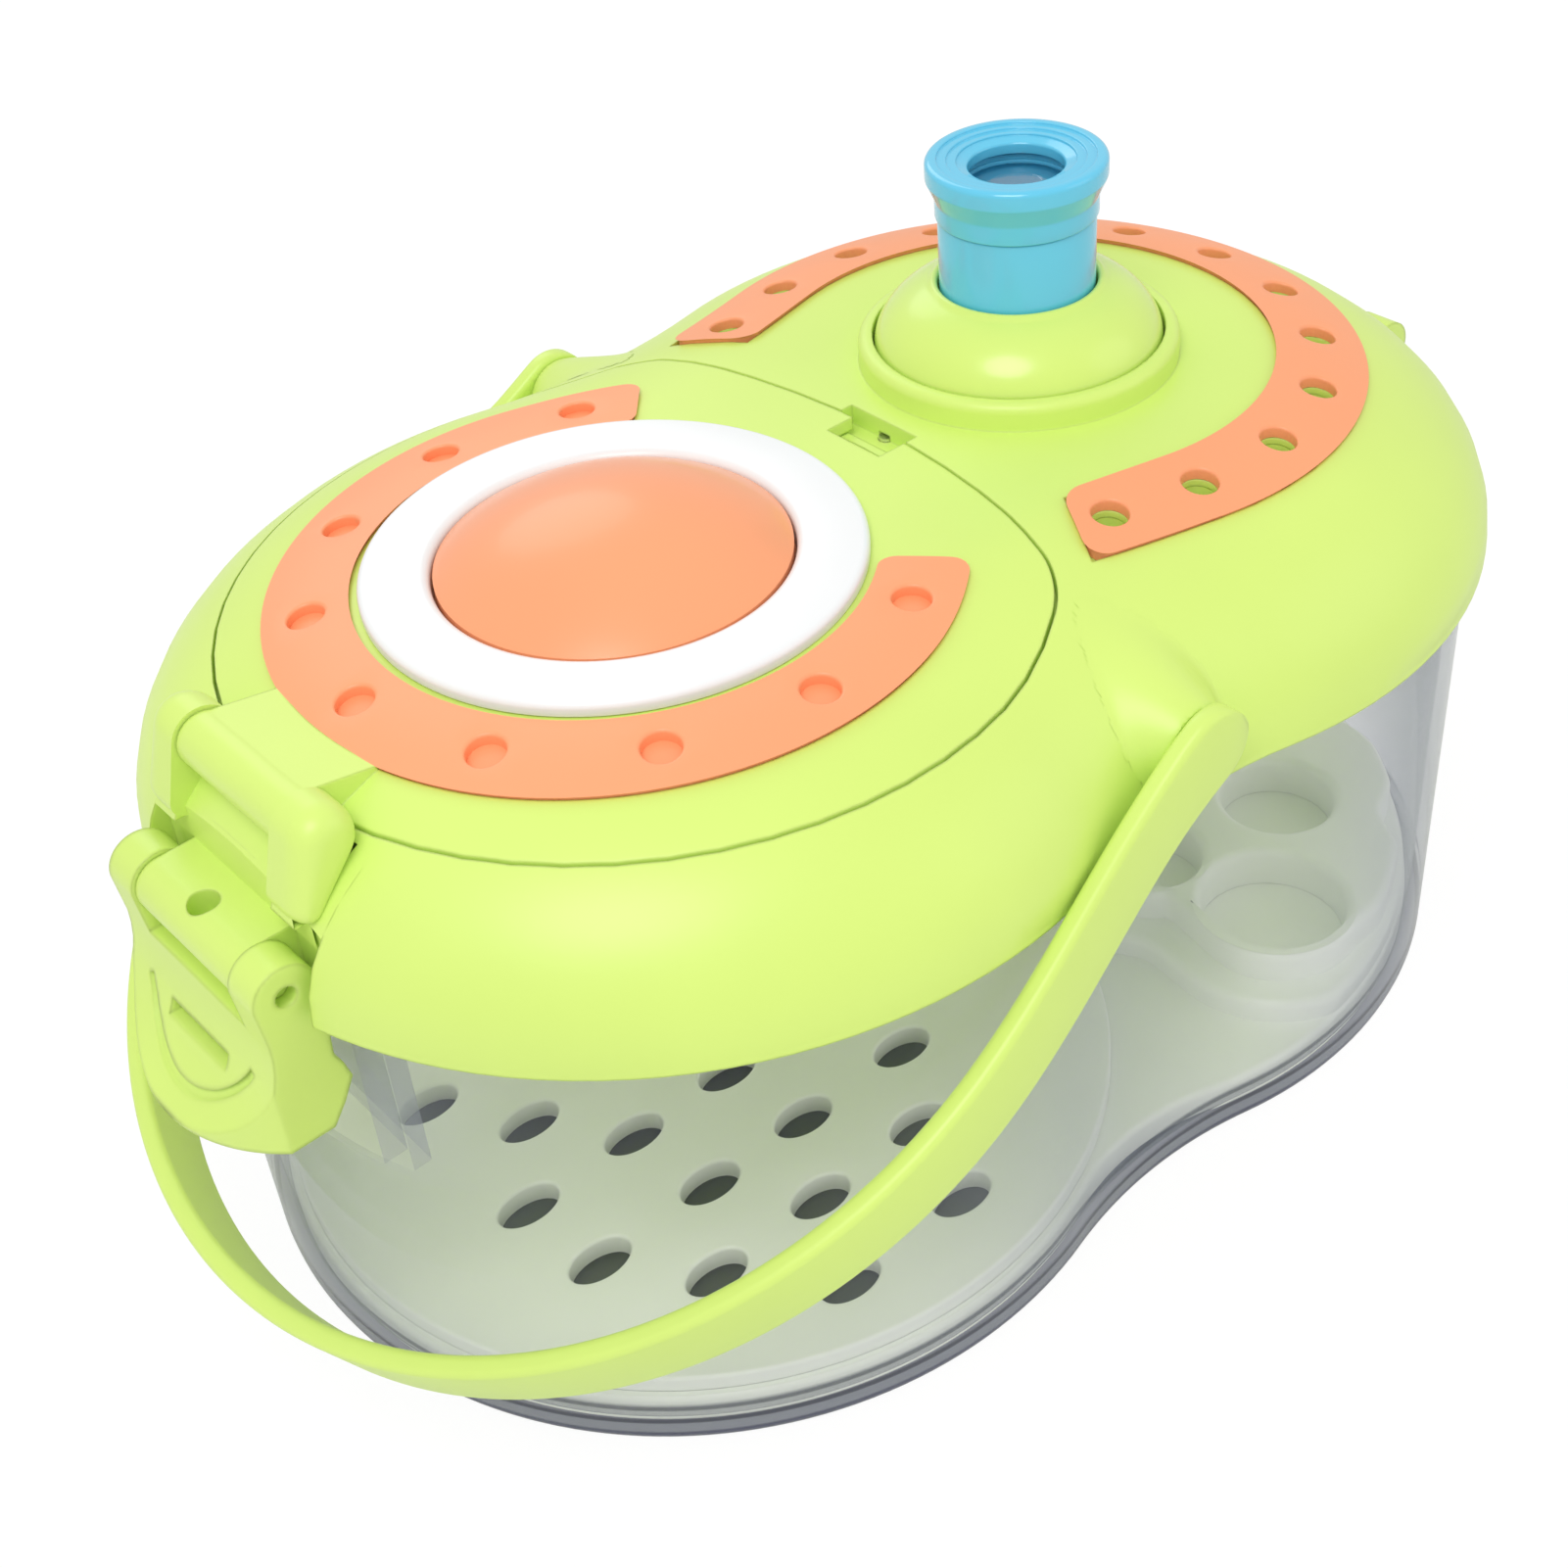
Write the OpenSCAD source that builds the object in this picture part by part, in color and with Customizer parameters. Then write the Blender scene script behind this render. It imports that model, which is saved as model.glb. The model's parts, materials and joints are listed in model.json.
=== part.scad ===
// Bug catcher jar: clear container, domed lid with a light hatch, a sliding eyepiece,
// two end latches and a carry handle.
// X runs through both round ends, the hatch is at -X, +Z is up and the table is at Z 0.

/* [Outline] */
// Radius of each round end of the lid
lobe_r = 79; // [75:1:90]
// Distance from the middle to the centre of each round end
lobe_x = 39.52; // [37.02:0.5:44.02]
// Radius of the hollow curve on each side of the waist
waist_r = 81.55; // [66.55:0.5:120.05]

/* [Lid] */
// Height of the lower edge of the lid's skirt
skirt_z = 84; // [78:1:110]
// Height of the lid from its skirt to its flat top
lid_h = 29; // [27:1:36]
// Width of the lid's rounded shoulder
shoulder_in = 42; // [34:1:42]
// Wall of the lid's skirt
lid_wall = 2.2; // [1.8:0.1:2.6]
// Wall of the lid's top
lid_top_wall = 2.4; // [2.2:0.1:3]

/* [Container] */
// Wall of the clear container
jar_wall = 2.2; // [1.6:0.1:2.8]
// Thickness of the container's floor
floor_t = 1.8; // [1.2:0.1:2.6]
// Play between the container's rim and the lid
jar_fit = 0.4; // [0.3:0.05:0.8]

/* [Hatch] */
// Distance from the lid's round end to the edge of the hatch door
hatch_in = 16.3; // [15:0.1:18]
// Radius of the curve that cuts the door on the scope side
hatch_cut_r = 139; // [120:1:160]
// Place of that cut beyond the middle of the lid
hatch_cut_x = 9; // [7:0.5:10]
// Radius of the door's two corners
hatch_corner_r = 18; // [14:1:20]
// Thickness of the hatch door
door_t = 2.2; // [2.2:0.1:2.8]
// Gap round the hatch door
door_gap = 0.5; // [0.3:0.05:0.8]

/* [Light] */
// Distance from the edge of the hatch door to the white ring
bezel_in = 25; // [23:0.1:26]
// Width of the white ring
bezel_w = 10.7; // [9:0.1:13]
// Rise of the dome above its edge
button_rise = 8.6; // [6:0.1:11]
// Travel of the push button
button_travel = 2.5; // [1.5:0.1:2.6]

/* [Scope] */
// Radius of the domed turret
turret_r = 23.6; // [22:0.1:24]
// Rise of the turret's dome
turret_rise = 13.2; // [11:0.1:15]
// Radius of the eyepiece tube
tube_r = 12.6; // [11.5:0.1:13]
// Height of the eyecup's face above the lid's flat top
eyecup_rise = 34; // [33:1:50]
// Largest radius of the eyecup
eyecup_r = 14.4; // [14:0.1:16]

/* [Latches] */
// Half the width of a latch
latch_half = 20; // [18:0.5:21]
// Depth of a latch below its hinge
flap_h = 26.5; // [24:0.5:30]
// Reach of the thumb lip beyond the hinge
flap_out = 14.5; // [11:0.5:16]

/* [Handle] */
// Gap between the resting handle and the end of the lid
bail_clear = 8.9; // [7:0.1:13]
// Gap between the handle at its widest and the side of the lid
bail_out = 3; // [2:0.5:10]
// Width of the handle's strap
strap_w = 13; // [9:0.5:14]
// Thickness of the handle's strap
strap_t = 3.5; // [2.5:0.1:4.5]
// Angle of the resting handle below the horizontal
bail_tilt = 28.5; // [24:0.5:29]

/* [Hidden] */
$fn = 96;
over = 1;

// Colours
lime = [0.80, 0.95, 0.45];
orange = [1.0, 0.66, 0.45];
sky = [0.42, 0.80, 0.93];
clear = [0.75, 0.80, 0.86, 0.45];
white = [0.96, 0.96, 0.95];
steel = [0.75, 0.76, 0.78];

// Lid values
lid_top = skirt_z + lid_h;
skirt_straight = 1;
shoulder_drop = lid_h - skirt_straight;
shoulder_z = lid_top - shoulder_drop;
shoulder_steps = 10;
outline_steps = 10;
lid_under = lid_top - lid_top_wall;
rim_up = 3;
rim_z = skirt_z + rim_up;
land_gap = 0.2;
rib_t = 1.8;
rib_drop = 5;
rib_rise = 6;
rib_gap = 0.4;

// Latch recesses in the lid and the container
recess_in = 8;
recess_side = 2;
recess_half = latch_half + recess_side;
recess_x = lobe_x + lobe_r - recess_in;
recess_low = 28;
foot_w = 7;
foot_h = 3;
foot_round = 4;
floor_up = 1;
jar_recess_x = recess_x - lid_wall - jar_fit;
jar_recess_half = recess_half + lid_wall + jar_fit;
jar_recess_z = skirt_z - recess_low;

// Latch hinge
pin_out = 6.5;
pin_x = recess_x + pin_out;
nose_r = 4.5;
lug_up = 1;
pin_z = skirt_z + lug_up + nose_r;
ear_r = 5;
ear_t = 6.6;
ear_gap = 0.3;
lug_half = latch_half - ear_t - ear_gap;
stud_r = 1.6;
stud_fit = 0.06;
stud_len = 4.5;
lug_hole_r = 2.4;
lug_hole_deep = 5;

// Latch flap
lip_w = 7;
lip_u = 4.3;
flap_wall = 2.2;
flap_steps = 8;
flap_curve = 2.2;
bulge_r = 27;
flap_floor = 2;
cheek_back_shares = [[-0.84, -0.53], [-1.04, -0.61], [-1.2, -0.73], [-0.8, -0.87], [-0.3, -1]];
catch_half = 12;
catch_t = 7;
catch_in = 2;
catch_low = 17.5;
hook_gap = 0.3;
hook_t = 2.5;
hook_in = 5.5;
hook_half = 11;
slit_half = 8;
slit_h = 2.5;
groove_r = 15.5;
groove_w = 1.3;
groove_d = 0.8;
groove_up = 7;
groove_a = 62;

// Handle
pivot_up = 10;
pivot_z = shoulder_z + pivot_up;
boss_deep = 6;
boss_out = 1.2;
pivot_gap = 0.3;
pivot_fit = 0.08;
boss_near = waist_y(lobe_r, waist_r) - waist_r - boss_deep;
boss_r = 6;
boss_far = waist_y(lobe_r, waist_r) - waist_r + boss_out;
disc_r = 7;
bail_stud_r = 3;
bail_mid = 60;
bail_reach = (lobe_x + lobe_r + bail_clear) / cos(bail_tilt);
bail_half = lobe_r + bail_out;
bail_steps = 28;
sway_steps = 8;

// Hatch
hatch_r = lobe_r - hatch_in;
light_out = 3.18;
light_x = -(lobe_x + light_out);
ledge_in = 2.5;
ledge_out = 3;
ledge_t = 1.8;
ledge_gap = 0.3;
hinge_out = 3.3;
hinge_x = -(lobe_x + hatch_r + hinge_out);
hinge_low = 4;
hinge_z = lid_top - hinge_low;
barrel_r = 4.3;
barrel_half = 12.7;
knuckle_gap = 0.3;
knuckle_t = 6;
knuckle_r = 4.3;
stub_r = 2;
stub_len = 3;
stub_fit = 0.08;
relief = 0.5;
notch_half = 7.5;
notch_deep = 5.5;
notch_in = 1;
notch_out = 2.5;
notch_tab = 3;
ear_shares = [[-0.98, -0.17], [-1.74, -2.5], [-0.6, -2.5], [1.1, -1.1], [0.8, -0.3]];
web_shares = [[0, 0.98], [3, 0.42], [3, 0], [1.2, -0.6], [0, -0.9]];

// Inlays
bezel_r = hatch_r - bezel_in;
inlay_in = 1.2;
inlay_up = 0.8;
inlay_gap = 0.1;
inlay_skin = 0.6;
vent_r = 2.85;
hatch_c_gap = 1.9;
hatch_c_in = bezel_r + hatch_c_gap;
hatch_c_edge = 10.9;
hatch_c_out = hatch_r - hatch_c_edge;
hatch_c_hole = 5.9;
hatch_c_mid = hatch_c_in + hatch_c_hole;
hatch_c_open = 48;
hatch_c_step = 30;
hatch_c_count = 9;
vent_c_edge = 23.1;
vent_c_out = lobe_r - vent_c_edge;
vent_c_w = 13.7;
vent_c_in = vent_c_out - vent_c_w;
vent_c_hole = 6.9;
vent_c_mid = vent_c_in + vent_c_hole;
vent_c_end = 104;
vent_c_step = 20.45;
vent_c_count = 11;
vent_leg_out = 22;
vent_leg_in = 18;
vent_leg_hole = 14.5;

// Light under the hatch
button_gap = 0.4;
bezel_open = bezel_r - bezel_w;
button_r = bezel_open - button_gap;
bezel_brim = 2;
bezel_neck = bezel_r - bezel_brim;
bezel_gap = 0.3;
bezel_up = 2.3;
bezel_round = 1.4;
bezel_low = 5;
lip_t = 2.2;
dome_t = 2;
flange_out = 2;
flange_t = 1.4;
post_r = 3;
collar_r = 6.5;
collar_t = 1.5;
collar_low = 1.2;
collar_z = lid_top - collar_low;
neck_step = 0.7;
housing_r = bezel_neck - neck_step;
housing_wall = 2;
housing_top = lid_top - bezel_low;
housing_deep = 9;
housing_brim = 7.3;
housing_flange = bezel_r + housing_brim;
housing_floor = housing_top - housing_deep;
screw_r = 1.2;
screw_fit = 0.05;
head_r = 2.4;
head_t = 1.5;
boss_wall = 1.8;
housing_screw_out = 2.8;
housing_screw_at = bezel_r + housing_screw_out;
well_r = 19.5;
well_wall = 2;
cell_r = 5.8;
cell_h = 5.4;
cell_at = 8.5;
contact_t = 0.4;
seat_gap = 0.1;
cover_t = 2;
cover_gap = 0.2;
board_up = 1;
board_t = 1.6;
board_z = housing_floor + housing_wall + board_up;
board_gap = 0.4;
board_r = housing_r - housing_wall - board_gap;
led_r = 1.5;
led_h = 3.4;
led_in = 1.6;
led_at = board_r - led_in;
led_count = 6;
switch_w = 6;
switch_h = 1;
plunger_r = 1.7;
plunger_h = 0.7;
post_z = board_z + board_t + switch_h + plunger_h + 2 * seat_gap + button_travel;
board_post_in = 8.6;
board_post_at = board_r - board_post_in;
spring_r = 5;
wire_r = 0.5;
spring_turns = 5;
spring_sides = 6;
spring_ring = 12;

// Scope
scope_out = 2.3;
scope_x = lobe_x + scope_out;
socket_wall = 2.7;
socket_r = turret_r + socket_wall;
socket_up = 4.5;
socket_round = 1.6;
turn_gap = 0.3;
turret_wall = 2.2;
turret_up = 2.5;
turret_base = lid_top + turret_up;
turret_flange = 3;
turret_flange_t = 2.2;
slide_gap = 0.3;
sleeve_wall = 2.3;
sleeve_low = 9;
retainer_in = 22.5;
retainer_out = 33;
retainer_t = 2.4;
retainer_screw_at = 30;
retainer_z = lid_under - turn_gap - turret_flange_t - turn_gap - retainer_t;
eyecup_top = lid_top + eyecup_rise;
eyecup_h = 9.4;
eyecup_flange_h = 5;
tube_wall = 1.8;
spigot_in = 1;
spigot_h = 6;
foot_out = 1.8;
foot_t = 1.5;
foot_drop = 13.5;
lens_t = 1.2;
lens_bulge = 1.1;
lens_lip = 1;
lens_fit = 0.1;
lens_gap = 0.4;
eye_r = 9.7;
eye_up = 3.8;
eye_z = eyecup_top - eyecup_h + eye_up;
obj_low = 8;
obj_z = lid_top - obj_low;
ring_t = 0.7;
ring_wall = 1.1;
eyecup_hole = 7.6;
eyecup_skirt = 0.4;
ridge_count = 4;
ridge_deep = 0.35;
dish_deep = 1.1;

// Play insert
insert_gap = 5.6;
insert_waist = 45;
insert_base = 8;
insert_top = 11;
panel_in = 1.5;
terrace_up = 2;
insert_t = 2;
slot_a = 5.7;
slot_b = 3.5;
slot_sides = 24;
cup_wall = 2.5;
cup_floor = 2;
cup_up = 4;
cup_shares = [[0.17, -0.66, 0.18], [0.46, -0.38, 0.15], [0.06, 0.42, 0.2], [0.46, 0.22, 0.15]];
terrace_shares = [0.3, -0.1, 0.62];
slot_shares = [
    [-0.73, [-0.21, 0.10]], [-0.53, [-0.39, -0.11, 0.17]], [-0.34, [-0.54, -0.25, 0.01, 0.30]],
    [-0.12, [-0.56, -0.28, -0.02, 0.27]], [0.07, [-0.42, -0.13, 0.15]],
    [0.27, [-0.55, -0.27, 0.01, 0.29]], [0.47, [-0.40, -0.12, 0.16]], [0.67, [-0.22, 0.08]]
];

function waist_y(r, w) = sqrt(pow(r + w, 2) - pow(lobe_x, 2));
function circle_pt(c, r, a) = [c[0] + r * cos(a), c[1] + r * sin(a)];

// Sector of a flat ring between two heights
module ring_pie(c, r0, r1, a0, a1, z0, z1) {
    translate([c[0], c[1], z0])
        rotate([0, 0, a0])
            rotate_extrude(angle = a1 - a0)
                translate([r0, 0])
                    square([r1 - r0, z1 - z0]);
}

// Column over the ground between the round ends, a rhombus whose sides pass both centres
module middle(y, z0, z1) {
    translate([0, 0, z0])
        linear_extrude(z1 - z0)
            polygon([[lobe_x, 0], [0, y], [-lobe_x, 0], [0, -y]]);
}

// Everything on the far side of a round end's join planes
module beyond(s, y, z0, z1) {
    far = s * (lobe_x + 2 * lobe_r);
    translate([0, 0, z0])
        linear_extrude(z1 - z0)
            polygon([[s * lobe_x, 0], [0, y], [-far, y], [-far, -y], [0, -y]]);
}

// Profile of points [outward, z] carried round the two-lobed outline
module sweep(r, w, pts) {
    y = waist_y(r, w);
    low = min([for (p = pts) p[1]]) - over;
    high = max([for (p = pts) p[1]]) + over;
    for (s = [1, -1]) {
        difference() {
            translate([s * lobe_x, 0, 0])
                rotate_extrude()
                    polygon([for (p = pts) [r + p[0], p[1]]]);
            beyond(s, y, low, high);
        }
        intersection() {
            translate([0, s * y, 0])
                rotate_extrude()
                    polygon([for (p = pts) [w - p[0], p[1]]]);
            middle(y, low, high);
        }
    }
}

// Filled two-lobed plate between two heights
module plate(r, w, z0, z1) {
    y = waist_y(r, w);
    for (s = [1, -1])
        difference() {
            translate([s * lobe_x, 0, z0])
                cylinder(r = r, h = z1 - z0);
            beyond(s, y, z0 - over, z1 + over);
        }
    difference() {
        middle(y, z0, z1);
        for (s = [1, -1])
            translate([0, s * y, z0 - over])
                cylinder(r = w, h = z1 - z0 + 2 * over);
    }
}

// Points of the shoulder curve, from the skirt up to the flat top
function shoulder(off, down) = [
    for (i = [0:shoulder_steps])
        [-shoulder_in + (shoulder_in - off) * cos(90 * i / shoulder_steps),
         shoulder_z + (shoulder_drop - down) * sin(90 * i / shoulder_steps)]
];

// Layer that follows the lid's crowned surface, from up above it to down below it
module layer(up, down) {
    n = shoulder_steps;
    pts = shoulder(0, 0);
    sweep(lobe_r, waist_r, concat(
        [for (p = pts) [p[0], p[1] + up]],
        [[-shoulder_in - over, lid_top + up], [-shoulder_in - over, lid_top - down]],
        [for (i = [n:-1:0]) [pts[i][0], pts[i][1] - down]]));
    plate(lobe_r - shoulder_in, waist_r + shoulder_in, lid_top - down, lid_top + up);
}

// Crowned shell of the lid with its straight skirt
module crown_shell() {
    n = shoulder_steps;
    inner = shoulder(lid_wall, lid_top_wall);
    sweep(lobe_r, waist_r, concat(
        [[-lid_wall, skirt_z], [0, skirt_z]],
        shoulder(0, 0),
        [[-shoulder_in - over, lid_top], [-shoulder_in - over, lid_under]],
        [for (i = [n:-1:0]) inner[i]]));
    plate(lobe_r - shoulder_in, waist_r + shoulder_in, lid_under, lid_top);
}

// Solid of one round end, halfway into the lid's wall
module end_crown(s) {
    translate([s * lobe_x, 0, 0])
        rotate_extrude()
            polygon(concat(
                [[0, skirt_z], [lobe_r - lid_wall / 2, skirt_z]],
                [for (p = shoulder(lid_wall / 2, lid_top_wall / 2)) [lobe_r + p[0], p[1]]],
                [[0, lid_top - lid_top_wall / 2]]));
}

// Round-cornered outline of the hatch, grown by off, between two heights
module hatch_prism(off, z0, z1) {
    ca = [-lobe_x, 0];
    cb = [hatch_cut_x - hatch_cut_r, 0];
    d = ca[0] - cb[0];
    ra = hatch_r - hatch_corner_r;
    rb = hatch_cut_r - hatch_corner_r;
    x = (rb * rb - ra * ra - d * d) / (2 * d);
    y = sqrt(ra * ra - x * x);
    aa = atan2(y, x);
    ab = atan2(y, x + d);
    n = outline_steps;
    translate([0, 0, z0])
        linear_extrude(z1 - z0)
            polygon(concat(
                [for (i = [0:n]) circle_pt(cb, hatch_cut_r + off, -ab + 2 * ab * i / n)],
                [for (i = [1:n - 1]) circle_pt(ca + [x, y], hatch_corner_r + off,
                    ab + (aa - ab) * i / n)],
                [for (i = [0:4 * n]) circle_pt(ca, hatch_r + off, aa + (360 - 2 * aa) * i / 4 / n)],
                [for (i = [1:n - 1]) circle_pt(ca + [x, -y], hatch_corner_r + off,
                    -aa + (aa - ab) * i / n)]));
}

// Points of the two-lobed outline with the round end r and the waist w
function outline(r, w) = let (y = waist_y(r, w), a = atan(y / lobe_x), b = atan(lobe_x / y),
    n = outline_steps)
    concat(
        [for (i = [0:4 * n]) circle_pt([lobe_x, 0], r, a - 180 + (360 - 2 * a) * i / 4 / n)],
        [for (i = [1:n - 1]) circle_pt([0, y], w, -90 + b - 2 * b * i / n)],
        [for (i = [0:4 * n]) circle_pt([-lobe_x, 0], r, a + (360 - 2 * a) * i / 4 / n)],
        [for (i = [1:n - 1]) circle_pt([0, -y], w, 90 + b - 2 * b * i / n)]);

// Flat plate of the two-lobed outline between two heights
module slab(r, w, z0, z1) {
    translate([0, 0, z0])
        linear_extrude(z1 - z0)
            polygon(outline(r, w));
}

// Cylinder along Y, centred on the middle plane
module cross(r, half) {
    rotate([90, 0, 0])
        cylinder(r = r, h = 2 * half, center = true);
}

// Two mirrored cylinders along Y from near to far
module cross_pair(r, near, far) {
    for (s = [0, 1])
        mirror([0, s, 0])
            translate([0, near, 0])
                rotate([-90, 0, 0])
                    cylinder(r = r, h = far - near);
}

// Extrusion along Y of an outline drawn in X and Z
module side_plate(pts, half) {
    rotate([90, 0, 0])
        translate([0, 0, -half])
            linear_extrude(2 * half)
                polygon(pts);
}

// Box that stands outside one end of the jar
module end_box(s, x, half, z0, z1) {
    far = lobe_x + lobe_r + recess_in;
    translate([s > 0 ? x : -far, -half, z0])
        cube([far - x, 2 * half, z1 - z0]);
}

// Upright cylinder of a screw post, peg or bore between two heights
module screw_post(x, y, r, z0, z1) {
    translate([x, y, z0])
        cylinder(r = r, h = z1 - z0);
}

// Screw with a round head under its shank
module screw(x, y, z, len) {
    translate([x, y, z - head_t])
        cylinder(r = head_r, h = head_t);
    translate([x, y, z])
        cylinder(r = screw_r, h = len);
}

// Container with its foot, floor, latch recesses and two catches
module container() {
    out = -lid_wall - jar_fit;
    inn = out - jar_wall;
    color(clear) {
        difference() {
            sweep(lobe_r, waist_r, [
                [out - foot_w, 0], [out - foot_round, 0],
                [out - foot_round + foot_round * sin(45), foot_round - foot_round * sin(45)],
                [out, foot_round], [out, rim_z], [inn, rim_z], [inn, foot_h],
                [out - foot_w, foot_h]]);
            for (s = [1, -1])
                end_box(s, jar_recess_x, jar_recess_half, jar_recess_z, lid_top);
        }
        plate(lobe_r + out - foot_w + floor_up, waist_r - out + foot_w - floor_up,
            floor_up, min(floor_up + floor_t, foot_h - floor_up / 4));
        for (s = [1, -1])
            intersection() {
                difference() {
                    end_box(s, jar_recess_x - jar_wall, jar_recess_half + jar_wall,
                        jar_recess_z - jar_wall, rim_z);
                    end_box(s, jar_recess_x, jar_recess_half, jar_recess_z, lid_top);
                }
                plate(lobe_r + (out + inn) / 2, waist_r - (out + inn) / 2, 0, lid_top);
            }
        for (s = [0, 1])
            mirror([s, 0, 0])
                translate([jar_recess_x - jar_wall / 2, -catch_half, pin_z - catch_low])
                    cube([pin_x - catch_in - jar_recess_x + jar_wall / 2,
                        2 * catch_half, catch_t]);
    }
}

// One moulding: an inverted tray, perforated at the hatch end, with cups at the scope end
module play_insert() {
    r = lobe_r - insert_gap;
    w = insert_waist;
    color(white)
        difference() {
            union() {
                slab(r, w, foot_h, insert_base);
                translate([-lobe_x, 0, foot_h])
                    cylinder(r = r - panel_in, h = insert_top - foot_h);
                translate([lobe_x + terrace_shares[0] * lobe_r, terrace_shares[1] * lobe_r, foot_h])
                    cylinder(r = terrace_shares[2] * lobe_r, h = insert_base + terrace_up - foot_h);
                for (c = cup_shares)
                    translate([lobe_x + c[0] * lobe_r, c[1] * lobe_r, foot_h])
                        cylinder(r = c[2] * lobe_r + cup_wall,
                            h = insert_base + cup_up - foot_h);
            }
            difference() {
                union() {
                    slab(r - insert_t, w + insert_t, foot_h - over, insert_base - insert_t);
                    translate([-lobe_x, 0, foot_h])
                        cylinder(r = r - panel_in - insert_t,
                            h = insert_top - insert_t - foot_h);
                }
                for (c = cup_shares)
                    translate([lobe_x + c[0] * lobe_r, c[1] * lobe_r, foot_h - over])
                        cylinder(r = c[2] * lobe_r + cup_wall, h = insert_base + over);
            }
            for (c = cup_shares)
                translate([lobe_x + c[0] * lobe_r, c[1] * lobe_r, foot_h + cup_floor])
                    cylinder(r = c[2] * lobe_r, h = insert_top + cup_up);
            for (row = slot_shares)
                for (x = row[1])
                    translate([x * lobe_r - lobe_x, row[0] * lobe_r, foot_h])
                        linear_extrude(insert_top)
                            polygon([for (i = [0:slot_sides - 1])
                                [slot_a * cos(360 * i / slot_sides),
                                 slot_b * sin(360 * i / slot_sides)]]);
        }
}

// Outline of the orange arc on the hatch, grown by g
module hatch_arc(g, z0, z1) {
    a = g > 0 ? 180 * g / (PI * hatch_c_mid) : 0;
    ring_pie([light_x, 0], hatch_c_in - g, hatch_c_out + g,
        hatch_c_open - a, 360 - hatch_c_open + a, z0, z1);
}

// Outline of the orange arc round the scope with its straight legs, grown by g
module vent_arc(g, z0, z1) {
    c = [scope_x, 0];
    n = 3 * outline_steps;
    r_in = vent_c_in - g;
    r_out = vent_c_out + g;
    run = [cos(vent_c_end + 90), sin(vent_c_end + 90)];
    back = [run[0], -run[1]];
    translate([0, 0, z0])
        linear_extrude(z1 - z0)
            polygon(concat(
                [circle_pt(c, r_out, -vent_c_end) + (vent_leg_out + g) * back],
                [for (i = [0:n]) circle_pt(c, r_out, vent_c_end * (2 * i / n - 1))],
                [circle_pt(c, r_out, vent_c_end) + (vent_leg_out + g) * run,
                 circle_pt(c, r_in, vent_c_end) + (vent_leg_in + g) * run],
                [for (i = [n:-1:0]) circle_pt(c, r_in, vent_c_end * (2 * i / n - 1))],
                [circle_pt(c, r_in, -vent_c_end) + (vent_leg_in + g) * back]));
}

// Places of the vent holes round the scope
function vent_places() = concat(
    [for (i = [0:vent_c_count - 1])
        circle_pt([scope_x, 0], vent_c_mid, (i - (vent_c_count - 1) / 2) * vent_c_step)],
    [for (s = [1, -1])
        circle_pt([scope_x, 0], vent_c_mid, s * vent_c_end)
            + vent_leg_hole * [cos(vent_c_end + 90), s * sin(vent_c_end + 90)]]);

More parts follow.
